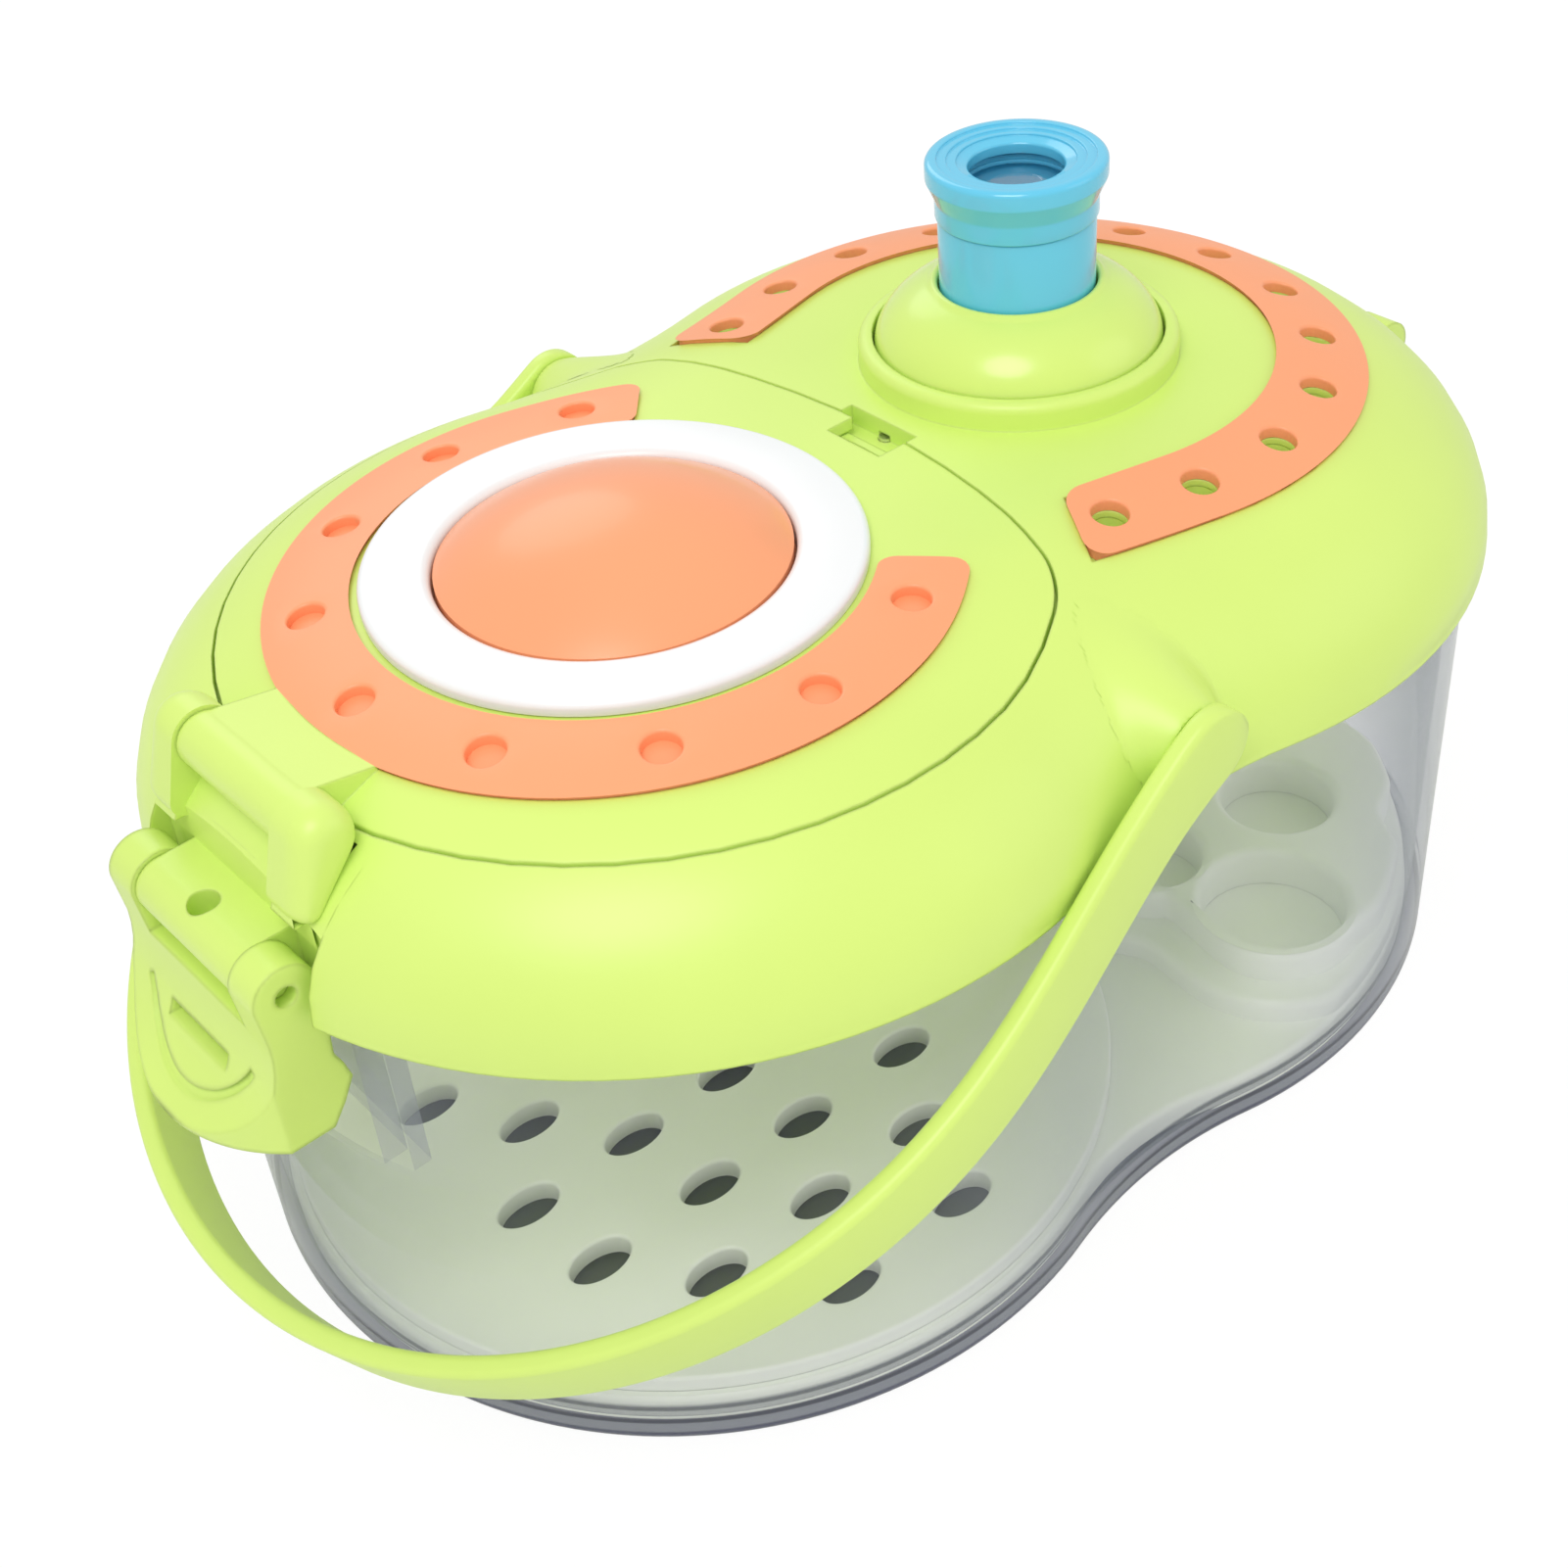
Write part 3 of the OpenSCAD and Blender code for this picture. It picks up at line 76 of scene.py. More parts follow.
def crownNormal(x, y):
    # Upward normal of the crown from central differences of its height
    step = 0.02
    gx = (crownHeight(x + step, y) - crownHeight(x - step, y)) / (2 * step)
    gy = (crownHeight(x, y + step) - crownHeight(x, y - step)) / (2 * step)
    normal = np.stack([-gx, -gy, np.ones_like(gx)], -1)
    return normal / np.linalg.norm(normal, axis=-1, keepdims=True)


# Materials. Their lengths are in metres

finish = dict(driftScale=22.0, driftDetail=2.0, driftStops=(0.3, 0.7), tint=0.025, grainScale=900.0,
              grainDetail=3.0, grainDepth=0.0005, edgeSamples=6, satinSpread=0.1, coatRough=0.08,
              rippleScale=18.0, ripple=0.02, rippleDepth=0.001, brushScale=1500.0, brushSpread=0.3)
# Colours. The darkest olive is painted shade, for the plate under the perforated panel
colours = dict(lime=(0.67, 0.86, 0.19), orange=(0.97, 0.37, 0.17), sky=(0.12, 0.58, 0.82),
               white=(0.87, 0.88, 0.88), insert=(0.93, 0.96, 0.88), smoke=(0.30, 0.33, 0.38),
               lens=(0.95, 0.98, 1.0), plating=(0.72, 0.72, 0.73), board=(0.03, 0.18, 0.08),
               lampCap=(0.95, 0.88, 0.55), hollow=(0.07, 0.09, 0.035), black=(0.02, 0.02, 0.022))
haze = dict(rough=0.06, face=0.055, edge=0.72, blend=0.35, start=0.15, cloudScale=14.0, cloud=(-0.02, 0.03),
            shine=(0.9, 0.1), letIn=0.2)
# Painted light and shade: the dark and pale bands that the thick clear foot shows by refraction
# The container's thick foot: painted bands from and to a share of its height, with their colour and cover
foot = dict(high=0.008,
            paintedBands=[(0.0, 0.2, (0.13, 0.14, 0.22), 0.8), (0.27, 0.45, (0.05, 0.055, 0.11), 0.86),
                   (0.52, 0.74, (0.22, 0.24, 0.27), 0.55), (0.78, 0.86, (0.03, 0.035, 0.06), 0.8)])


def newMaterial(name):
    # The material with its node tree and its shader
    mat = bpy.data.materials.new(name)
    mat.use_nodes = True
    return mat, mat.node_tree, mat.node_tree.nodes["Principled BSDF"]


def feed(tree, node, inputs):
    # Each input takes either a value or the output that is linked to it
    for key, value in inputs.items():
        if isinstance(value, bpy.types.NodeSocket):
            tree.links.new(value, node.inputs[key])
        else:
            node.inputs[key].default_value = value


def addNode(tree, kind, inputs=(), **fields):
    # Fields are the node's own settings, set before its inputs
    node = tree.nodes.new("ShaderNode" + kind)
    for key, value in fields.items():
        setattr(node, key, value)
    feed(tree, node, dict(inputs))
    return node


def eitherRay(tree, first, second):
    # 1 on rays of either kind, else 0
    path = addNode(tree, "LightPath")
    return addNode(tree, "Math", {0: path.outputs[first], 1: path.outputs[second]},
                   operation="MAXIMUM").outputs[0]


def plastic(name, colour, rough=0.3, coat=0.0, grain=0.02, edge=0.0):
    # Principled plastic: a faint large-scale drift in colour and roughness, a fine moulded grain as bump. An
    # edge radius softens the shading of sharp edges
    p = finish
    mat, tree, shader = newMaterial(name)
    coords = addNode(tree, "TexCoord").outputs["Object"]
    drift = addNode(tree, "TexNoise", {"Scale": p["driftScale"], "Detail": p["driftDetail"],
                                       "Vector": coords}).outputs["Fac"]
    ramp = addNode(tree, "ValToRGB", {"Fac": drift})
    for stop, at, change in zip(ramp.color_ramp.elements, p["driftStops"], (-p["tint"], p["tint"])):
        stop.position = at
        stop.color = (*[min(1.0, c * (1 + change)) for c in colour], 1)
    fine = addNode(tree, "TexNoise", {"Scale": p["grainScale"], "Detail": p["grainDetail"], "Vector": coords})
    bump = addNode(tree, "Bump", {"Strength": grain, "Distance": p["grainDepth"],
                                  "Height": fine.outputs["Fac"]})
    if edge:
        soften = addNode(tree, "Bevel", {"Radius": edge}, samples=p["edgeSamples"])
        feed(tree, bump, {"Normal": soften.outputs["Normal"]})
    satin = addNode(tree, "MapRange", {"Value": drift, "To Min": rough * (1 - p["satinSpread"]),
                                       "To Max": rough * (1 + p["satinSpread"])})
    feed(tree, shader, {"Base Color": ramp.outputs["Color"], "Normal": bump.outputs["Normal"],
                        "Roughness": satin.outputs["Result"], "Coat Weight": coat,
                        "Coat Roughness": p["coatRough"]})
    return mat


def clearPlastic(name, colour, rough, ior):
    # Clear moulded plastic of the lenses, rippled a little. Shadow and diffuse rays pass straight through
    p = finish
    mat, tree, shader = newMaterial(name)
    coords = addNode(tree, "TexCoord").outputs["Object"]
    ripple = addNode(tree, "TexNoise", {"Scale": p["rippleScale"], "Vector": coords})
    bump = addNode(tree, "Bump", {"Strength": p["ripple"], "Distance": p["rippleDepth"],
                                  "Height": ripple.outputs["Fac"]})
    feed(tree, shader, {"Base Color": (*colour, 1), "Roughness": rough, "IOR": ior,
                        "Transmission Weight": 1.0, "Normal": bump.outputs["Normal"]})
    through = addNode(tree, "BsdfTransparent")
    swap = addNode(tree, "MixShader", {"Fac": eitherRay(tree, "Is Shadow Ray", "Is Diffuse Ray"),
                                       1: shader.outputs[0], 2: through.outputs[0]})
    feed(tree, tree.nodes["Material Output"], {"Surface": swap.outputs[0]})
    return mat


def thinClear(name, colour):
    # Thin clear wall: see-through face on, smokier where it is seen on edge, with the thick foot's painted
    # bands of refracted light and shade, in colour and cover by height. A slow noise clouds it a little
    p = haze
    mat, tree, shader = newMaterial(name)
    coords = addNode(tree, "TexCoord").outputs["Object"]
    split = addNode(tree, "SeparateXYZ", {"Vector": coords})
    rise = addNode(tree, "MapRange", {"From Max": foot["high"], "Value": split.outputs["Z"]})
    # Painted light and shade: the foot's refraction bands by height
    paintedBands = addNode(tree, "ValToRGB", {"Fac": rise.outputs["Result"]})
    stops = [(at, (*shade, cover)) for low, high, shade, cover in foot["paintedBands"] for at in (low, high)]
    ramp = paintedBands.color_ramp.elements
    for k, (at, shade) in enumerate(stops + [(1.0, (*colour, 0.0))]):
        stop = ramp[k] if k < 2 else ramp.new(1.0)
        stop.position = at
        stop.color = shade
    facing = addNode(tree, "LayerWeight", {"Blend": p["blend"]})
    edge = addNode(tree, "MapRange", {"From Min": p["start"], "From Max": 1.0, "To Min": p["face"],
                                      "To Max": p["edge"], "Value": facing.outputs["Facing"]},
                   interpolation_type="SMOOTHSTEP")
    cloud = addNode(tree, "TexNoise", {"Scale": p["cloudScale"], "Vector": coords})
    wisps = addNode(tree, "MapRange", {"To Min": p["cloud"][0], "To Max": p["cloud"][1],
                                       "Value": cloud.outputs["Fac"]})
    wall = addNode(tree, "Math", {0: edge.outputs["Result"], 1: wisps.outputs["Result"]}, operation="ADD")
    thick = addNode(tree, "Math", {0: paintedBands.outputs["Alpha"], 1: wall.outputs[0]}, operation="MAXIMUM",
                    use_clamp=True)
    # The thick foot shines less, and light on its way into the jar meets a fifth of the wall's cover
    shine = addNode(tree, "MapRange", {"To Min": p["shine"][0], "To Max": p["shine"][1],
                                       "Value": paintedBands.outputs["Alpha"]})
    keep = addNode(tree, "MapRange", {"To Min": 1, "To Max": p["letIn"],
                                      "Value": eitherRay(tree, "Is Shadow Ray", "Is Diffuse Ray")})
    cover = addNode(tree, "Math", {0: thick.outputs[0], 1: keep.outputs["Result"]}, operation="MULTIPLY")
    feed(tree, shader, {"Base Color": paintedBands.outputs["Color"], "Roughness": p["rough"],
                        "Specular IOR Level": shine.outputs["Result"], "Alpha": cover.outputs[0]})
    return mat


def metal(name, colour, rough):
    # Plated metal with a fine brushed variation in roughness
    p = finish
    mat, tree, shader = newMaterial(name)
    coords = addNode(tree, "TexCoord").outputs["Object"]
    brush = addNode(tree, "TexNoise", {"Scale": p["brushScale"], "Vector": coords})
    spread = addNode(tree, "MapRange", {"Value": brush.outputs["Fac"],
                                        "To Min": rough * (1 - p["brushSpread"]),
                                        "To Max": rough * (1 + p["brushSpread"])})
    feed(tree, shader, {"Base Color": (*colour, 1), "Metallic": 1.0, "Roughness": spread.outputs["Result"]})
    return mat


mats = {
    "lime_plastic": plastic("limeSatin", colours["lime"], rough=0.36, grain=0.03),
    "lime_edged": plastic("limeSatinEdged", colours["lime"], rough=0.36, grain=0.03, edge=0.0006),
    "lime_soft": plastic("limeSatinSoft", colours["lime"], rough=0.36, grain=0.03, edge=0.0013),
    "lime_gloss": plastic("limeGloss", colours["lime"], rough=0.24, coat=0.15, grain=0.006),
    "orange_plastic": plastic("orangeSatin", colours["orange"], rough=0.4, grain=0.03),
    "orange_gloss": plastic("orangeGloss", colours["orange"], rough=0.3, coat=0.12, grain=0.008),
    "blue_plastic": plastic("skyGloss", colours["sky"], rough=0.16, coat=0.4, grain=0.005),
    "white_plastic": plastic("whiteGloss", colours["white"], rough=0.25, grain=0.01),
    "insert_plastic": plastic("insertWhite", colours["insert"], rough=0.3, grain=0.01),
    "clear_plastic": thinClear("clearWall", colours["smoke"]),
    "lens": clearPlastic("clearLens", colours["lens"], rough=0.01, ior=1.49),
    "steel": metal("platedSteel", colours["plating"], rough=0.3),
    "board": plastic("greenBoard", colours["board"], rough=0.5),
    "lamp": plastic("lampCap", colours["lampCap"], rough=0.15),
    # painted shade, for the dark plate under the perforated panel
    "shade": plastic("paintedShadeDark", colours["hollow"], rough=0.7),
    "dark_plastic": plastic("blackPlastic", colours["black"], rough=0.45),
}
slotOf = {part["node"]: part["material_slot"] for part in frame["record"]["subparts"]}
bodyOf = {node: body for body, members in frame["record"]["behaviour"]["bodies"].items() for node in members}
for name, node in frame["nodes"].items():
    node.data.materials.clear()
    node.data.materials.append(mats[slotOf[name]])
frame["nodes"]["play_insert"].data.materials[0] = mats["insert_plastic"]
print("bug jar: materials made")


# Shape helpers

def gridFaces(rows, cols, closedRows=False):
    # Quads between neighbouring rows and columns of a grid whose columns close on themselves
    i = np.arange(rows if closedRows else rows - 1)[:, None]
    j = np.arange(cols)[None, :]
    after, side = (i + 1) % rows * cols, (j + 1) % cols
    quads = np.broadcast_arrays(i * cols + j, i * cols + side, after + side, after + j)
    return np.stack(quads, -1).reshape(-1, 4)


def sheetFaces(rows, cols):
    # Quads of a grid that is open on all sides
    return gridFaces(rows, cols).reshape(rows - 1, cols, 4)[:, :-1].reshape(-1, 4)


def cappedFaces(rows, cols):
    # Quads of a tube of rings, and one face over each end
    last = cols * (rows - 1)
    return gridFaces(rows, cols).tolist() + [list(range(cols)), list(range(last, last + cols))]


def cleanMesh(mesh, recalc=False, hidden=None):
    # Doubles merged, then normals turned outwards or the faces with a hidden centre left out
    work = bmesh.new()
    work.from_mesh(mesh)
    bmesh.ops.remove_doubles(work, verts=work.verts, dist=2e-6)
    if recalc:
        bmesh.ops.recalc_face_normals(work, faces=work.faces)
    if hidden:
        spots = np.array([face.calc_center_median()[:] for face in work.faces]) * 1000
        gone = [face for face, drop in zip(work.faces, hidden(*spots.T)) if drop]
        bmesh.ops.delete(work, geom=gone, context="FACES")
    work.to_mesh(mesh)
    work.free()


def addObject(name, data):
    made = bpy.data.objects.new(name, data)
    bpy.context.scene.collection.objects.link(made)
    return made


def addPiece(name, parts, material, body, replaces=(), sharp=40, recalc=True):
    # Parts are (points in mm, faces), joined to one mesh. Edges past the sharp angle stay crisp
    points, faces, start = [], [], 0
    for some, polys in parts:
        points.append(np.asarray(some, float))
        faces += [[int(k) + start for k in poly] for poly in polys]
        start += len(some)
    mesh = bpy.data.meshes.new(name)
    mesh.from_pydata(mm(np.vstack(points)).tolist(), [], faces)
    cleanMesh(mesh, recalc)
    mesh.materials.append(mats[material])
    mesh.shade_smooth()
    mesh.set_sharp_from_angle(angle=math.radians(sharp))
    piece = addObject(name, mesh)
    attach(piece, body)
    if replaces:
        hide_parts(*replaces)


def arcAt(x, y, r, t):
    # Points of a circle at the angles t
    return np.stack([x + r * np.cos(t), y + r * np.sin(t)], -1)


def circle(x, y, r, steps=28, squash=1.0):
    # Clockwise circle or oval
    t = -np.linspace(0, 2 * math.pi, steps, endpoint=False)
    return np.stack([x + r * np.cos(t), y + r * squash * np.sin(t)], -1)


def rounded(points, radii, steps=5):
    # Closed profile whose corners become arcs tangent to both sides; a zero radius keeps its corner
    longest, straight = 0.48, 0.02        # most of a side that an arc takes, least turn in radians
    points = np.asarray(points, float)
    out = []
    for i, radius in enumerate(np.broadcast_to(radii, len(points))):
        corner = points[i]
        before, after = points[i - 1] - corner, points[(i + 1) % len(points)] - corner
        lengthA, lengthB = np.linalg.norm(before), np.linalg.norm(after)
        before, after = before / lengthA, after / lengthB
        half = 0.5 * math.acos(max(-1, min(1, before @ after)))
        turn = math.pi - 2 * half
        if radius == 0 or turn < straight:
            out.append(corner[None])
            continue
        cut = min(radius / math.tan(half), longest * lengthA, longest * lengthB)
        small = cut * math.tan(half)
        middle = (before + after) / np.linalg.norm(before + after)
        centre = corner + middle * small / math.sin(half)
        armA, armB = corner + before * cut - centre, corner + after * cut - centre
        t = np.linspace(0, 1, steps + 1)[:, None]
        out.append(centre + (np.sin((1 - t) * turn) * armA + np.sin(t * turn) * armB) / math.sin(turn))
    return np.vstack(out)


def dense(loop, gap):
    # Closed loop with points added on its long sides
    out = []
    for a, b in zip(loop, np.roll(loop, -1, axis=0)):
        count = max(1, int(round(np.linalg.norm(b - a) / gap)))
        out.append(a + (b - a) * np.arange(count)[:, None] / count)
    return np.vstack(out)


def revolved(profile, centre, steps=120):
    # A closed profile (r, z) carried round the upright axis: x = cx + r cos t, y = cy + r sin t
    t = np.linspace(0, 2 * math.pi, steps, endpoint=False)
    r, z = np.asarray(profile, float).T
    x = centre[0] + r[:, None] * np.cos(t)
    y = centre[1] + r[:, None] * np.sin(t)
    points = np.stack([x, y, np.broadcast_to(z[:, None], x.shape)], -1).reshape(-1, 3)
    return points, gridFaces(len(r), steps, closedRows=True)


def domeArc(edge, rise, z, steps):
    # Points of a spherical cap from its edge up to the axis: r sin v, z + rise - r + r cos v
    r = (edge * edge + rise * rise) / (2 * rise)
    v = np.linspace(math.asin(edge / r), 0, steps)
    return np.stack([r * np.sin(v), z + rise - r + r * np.cos(v)], -1)


def loopNormal(loop):
    # Outward normal at each point of a closed loop, from the chord between its neighbours
    chord = np.roll(loop, -1, axis=0) - np.roll(loop, 1, axis=0)
    normal = np.stack([chord[:, 1], -chord[:, 0]], -1)
    return normal / np.linalg.norm(normal, axis=1, keepdims=True)


def insideLoops(points, loops):
    # Even-odd test: crossings of a ray towards +x with all the loops' sides
    hits = np.zeros(len(points), int)
    px, py = points[:, 0][:, None], points[:, 1][:, None]
    for loop in loops:
        (x0, y0), (x1, y1) = loop.T, np.roll(loop, -1, axis=0).T
        spans = (y0 > py) != (y1 > py)
        at = x0 + (py - y0) * (x1 - x0) / np.where(y1 == y0, 1e-9, y1 - y0)
        hits += (spans & (at > px)).sum(1)
    return hits % 2 == 1


def capFaces(loops, height, spacing):
    # Delaunay triangles between the loops, with grid points added inside so the face can follow a crown
    rowGap, clear, merge = 0.87, 0.45, 1e-5        # the first two are shares of the spacing
    low, high = np.vstack(loops).min(0), np.vstack(loops).max(0)
    gx, gy = np.meshgrid(np.arange(low[0], high[0], spacing), np.arange(low[1], high[1], spacing * rowGap))
    gx = gx + (np.arange(len(gx)) % 2)[:, None] * spacing / 2
    fill = np.stack([gx.ravel(), gy.ravel()], -1)
    fill = fill[insideLoops(fill, loops)]
    rim = np.vstack(loops)
    near = ((fill[:, None, :] - rim[None, ::2, :]) ** 2).sum(-1).min(1)
    fill = fill[near > (spacing * clear) ** 2]
    edges, start = [], 0
    for loop in loops:
        k = np.arange(len(loop))
        edges.append(np.stack([k, (k + 1) % len(loop)], -1) + start)
        start += len(loop)
    flat = [Vector(p) for p in np.vstack([rim, fill]).tolist()]
    verts, _, tris, _, _, _ = delaunay_2d_cdt(flat, np.vstack(edges).tolist(), [], 1, merge)
    spots, tris = np.array([list(v) for v in verts]), np.array(tris)
    tris = tris[insideLoops(spots[tris].mean(1), loops)]
    return np.column_stack([spots, height(spots[:, 0], spots[:, 1])]), tris


def filletPlate(outer, holes, blind, top, low, fillet, floor=None, spacing=3.0, steps=4):
    # Walls rise from low, turn over a quarter circle of the fillet's radius and meet the triangulated top.
    # Blind holes stop at floor. The outer loop runs counter-clockwise, holes run clockwise
    parts, inner, bottom = [], [], []
    for loop, base, closed in ([(outer, low, False)] + [(h, low, False) for h in holes]
                               + [(h, floor, True) for h in blind]):
        normal = loopNormal(loop)
        rows = [np.column_stack([loop, base(*loop.T)])]
        for t in np.linspace(0, math.pi / 2, steps + 1):
            ring = loop - normal * fillet * (1 - math.cos(t))
            rows.append(np.column_stack([ring, top(*ring.T) - fillet * (1 - math.sin(t))]))
        inner.append(rows[-1][:, :2])
        parts.append((np.vstack(rows), gridFaces(len(rows), len(loop))))
        if closed:
            middle = loop.mean(0)
            centre = np.array([[middle[0], middle[1], floor(*middle)]])
            k = np.arange(len(loop))
            fan = np.stack([k, (k + 1) % len(loop), np.full(len(loop), len(loop))], -1)
            parts.append((np.vstack([rows[0], centre]), fan))
        else:
            bottom.append(loop)
    parts.append(capFaces(inner, top, spacing))
    parts.append(capFaces(bottom, low, spacing * 2))        # the underside may be coarser
    return parts


def level(z):
    # A flat height, in the form that filletPlate takes
    return lambda x, y: np.full(np.shape(x), float(z))


def twoLobes(r, w, gap=2.0):
    # Outline of two round ends of the radius r joined by hollow arcs of the radius w, counter-clockwise
    y = math.sqrt((r + w) ** 2 - lid["lobeX"] ** 2)
    join = math.atan2(y, -lid["lobeX"])
    lobe = np.linspace(-join, join, int(2 * join * r / gap))
    waist = np.linspace(-math.pi + join, -join, int((2 * join - math.pi) * w / gap) + 4)[1:-1]
    half = np.vstack([arcAt(lid["lobeX"], 0, r, lobe), arcAt(0, y, w, waist)])
    return np.vstack([half, -half])


# Skins over the solids of the lid, hatch door and latches

skinFit = dict(crease=24, near=0.25, along=0.93)


def creaseNormals(corners, facing, areas, crease):
    # At each corner, the area-weighted mean of the normals of the faces round its vertex that lean less than
    # the crease from its own face, so a flat face stays flat beside a round one
    count = len(facing)
    owner = np.repeat(np.arange(count), 3)
    order = np.argsort(corners, kind="stable")
    uses = np.bincount(corners)
    first = np.cumsum(uses) - uses
    sizes = uses[corners]
    row = np.repeat(np.arange(len(corners)), sizes)
    step = np.arange(sizes.sum()) - np.repeat(np.cumsum(sizes) - sizes, sizes)
    other = owner[order[first[corners][row] + step]]
    close = (facing[owner[row]] * facing[other]).sum(1) > math.cos(math.radians(crease))
    weight = np.where(close, areas[other], 0)
    total = np.stack([np.bincount(row, weight * facing[other][:, k], len(corners)) for k in range(3)], -1)
    return total / np.maximum(np.linalg.norm(total, axis=1, keepdims=True), 1e-12)


def copyNode(name, material, crowned=True, hidden=None):
    # Merged copy of a solid's mesh. Corners on the crown take the crown's own normal, so its bands vanish
    p = skinFit
    mesh = frame["nodes"][name].data.copy()
    cleanMesh(mesh, hidden=hidden)
    mesh.materials.clear()
    mesh.materials.append(mats[material])
    mesh.shade_smooth()
    index = np.empty(len(mesh.loops), np.int64)
    mesh.loops.foreach_get("vertex_index", index)
    spot = np.empty(len(mesh.vertices) * 3)
    mesh.vertices.foreach_get("co", spot)
    spot = spot.reshape(-1, 3)[index] * 1000
    sides = spot.reshape(-1, 3, 3)
    cross = np.cross(sides[:, 1] - sides[:, 0], sides[:, 2] - sides[:, 0])
    areas = np.linalg.norm(cross, axis=1)
    facing = cross / np.maximum(areas[:, None], 1e-12)
    corner = creaseNormals(index, facing, areas, p["crease"])
    if crowned:
        ideal = crownNormal(spot[:, 0], spot[:, 1])
        near = np.abs(spot[:, 2] - crownHeight(spot[:, 0], spot[:, 1])) < p["near"]
        near = near.reshape(-1, 3).all(1).repeat(3)
        aligned = (np.repeat(facing, 3, axis=0) * ideal).sum(1) > p["along"]
        aligned = aligned.reshape(-1, 3).all(1).repeat(3)
        corner[near & aligned] = ideal[near & aligned]
    mesh.normals_split_custom_set(corner.tolist())
    piece = addObject(name + "Skin", mesh)
    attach(piece, bodyOf[name])
    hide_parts(name)


# Rounded ears at the hatch hinge, which stand where the solid's flat ears end

ear = dict(axisX=-105.52, axisZ=109.0, near=12.96, far=20.9, topR=4.9, tipR=2.5, tipX=-5.0, tipZ=-8.4,
           swell=4.4, pinch=0.62, end=86, rows=15, gap=0.8, flatX=(-114, -99.5), flatY=(15.5, 21.5),
           above=0.12)


def underEars(x, y, z):
    # Outer half of the flat ears above the crown
    (west, east), (inner, outer) = ear["flatX"], ear["flatY"]
    y = np.abs(y)
    return (y > inner) & (y < outer) & (x > west) & (x < east) & (z > crownHeight(x, y) + ear["above"])


def tearOutline(topR, tipR, tipX, tipZ, steps=26):
    # Hull of a large circle at the hinge and a small one at the tip: two arcs that meet along common tangents
    aim = math.atan2(tipZ, tipX)
    lean = math.asin((topR - tipR) / math.hypot(tipX, tipZ))
    wide = np.linspace(aim + math.pi / 2 - lean, aim + 1.5 * math.pi + lean, steps)
    slim = np.linspace(aim - math.pi / 2 + lean, aim + math.pi / 2 - lean, steps // 2)
    return np.vstack([arcAt(0, 0, topR, wide), arcAt(tipX, tipZ, tipR, slim)])


def hingeEars():
    # A straight wall, then a pebble end: each ring draws in towards the line from the hinge to the tip by the
    # cosine of a rising angle to a power, while it rises by the sine
    p = ear
    loop = dense(tearOutline(p["topR"], p["tipR"], p["tipX"], p["tipZ"]), p["gap"])
    line = np.array([p["tipX"], p["tipZ"]])
    share = np.clip(loop @ line / (line @ line), 0, 1)
    spine = share[:, None] * line
    rings = [np.insert(loop, 1, p["near"], axis=1)]
    for a in np.radians(np.linspace(0, p["end"], p["rows"])):
        ring = spine + (loop - spine) * math.cos(a) ** p["pinch"]
        rings.append(np.insert(ring, 1, p["far"] - p["swell"] * (1 - math.sin(a)), axis=1))
    points = np.vstack(rings) + (p["axisX"], 0, p["axisZ"])
    faces = cappedFaces(len(rings), len(loop))
    both = [(points * (1, side, 1), faces) for side in (1, -1)]
    addPiece("hingeEars", both, "lime_plastic", "jar", sharp=60)


# The crown carried on under the hinge, and the back wall of the latch's bay

bay = dict(x=-110.97, inner=-98.5, wide=22.0, low=93.9, half=19.9, barrel=5.0, barrelHalf=13.3, doorR=63.5,
           under=0.04, none=200.0, crownGrid=(64, 111), wallGrid=(60, 8))


def crownPatch():
    # The crown's height a little under its skin, dished by a circle round the barrel and cut off at the door
    p = bay
    x, y = np.meshgrid(np.linspace(p["x"], p["inner"], p["crownGrid"][0]),
                       np.linspace(-p["wide"], p["wide"], p["crownGrid"][1]))
    fall = np.sqrt(np.maximum(p["barrel"] ** 2 - (x - ear["axisX"]) ** 2, 0))
    dished = (np.abs(x - ear["axisX"]) < p["barrel"]) & (np.abs(y) < p["barrelHalf"])
    z = np.minimum(crownHeight(x, y) - p["under"], np.where(dished, ear["axisZ"] - fall, p["none"]))
    outside = np.hypot(x - lid["hatchCentre"], y) > p["doorR"]
    faces = sheetFaces(*x.shape)
    faces = faces[outside.ravel()[faces].all(1)]
    points = np.stack([x, y, z], -1).reshape(-1, 3)
    y, s = np.meshgrid(np.linspace(-p["half"], p["half"], p["wallGrid"][0]),
                       np.linspace(0, 1, p["wallGrid"][1]))
    x = np.full_like(y, p["x"])
    wall = np.stack([x, y, p["low"] + s * (crownHeight(x, y) - p["under"] - p["low"])], -1).reshape(-1, 3)
    addPiece("crownPatch", [(points, faces), (wall, sheetFaces(*y.shape)[:, ::-1])], "lime_plastic", "jar",
             recalc=False)


# Swelling round each handle boss

fairing = dict(pivotZ=95.0, bossR=6.1, bossFar=75.3, slope=2.2, curve=0.18, blend=7.0, half=20.0, low=85.4,
               high=111.5, under=0.05, most=75.4, edge=1.0, grid=(90, 72))


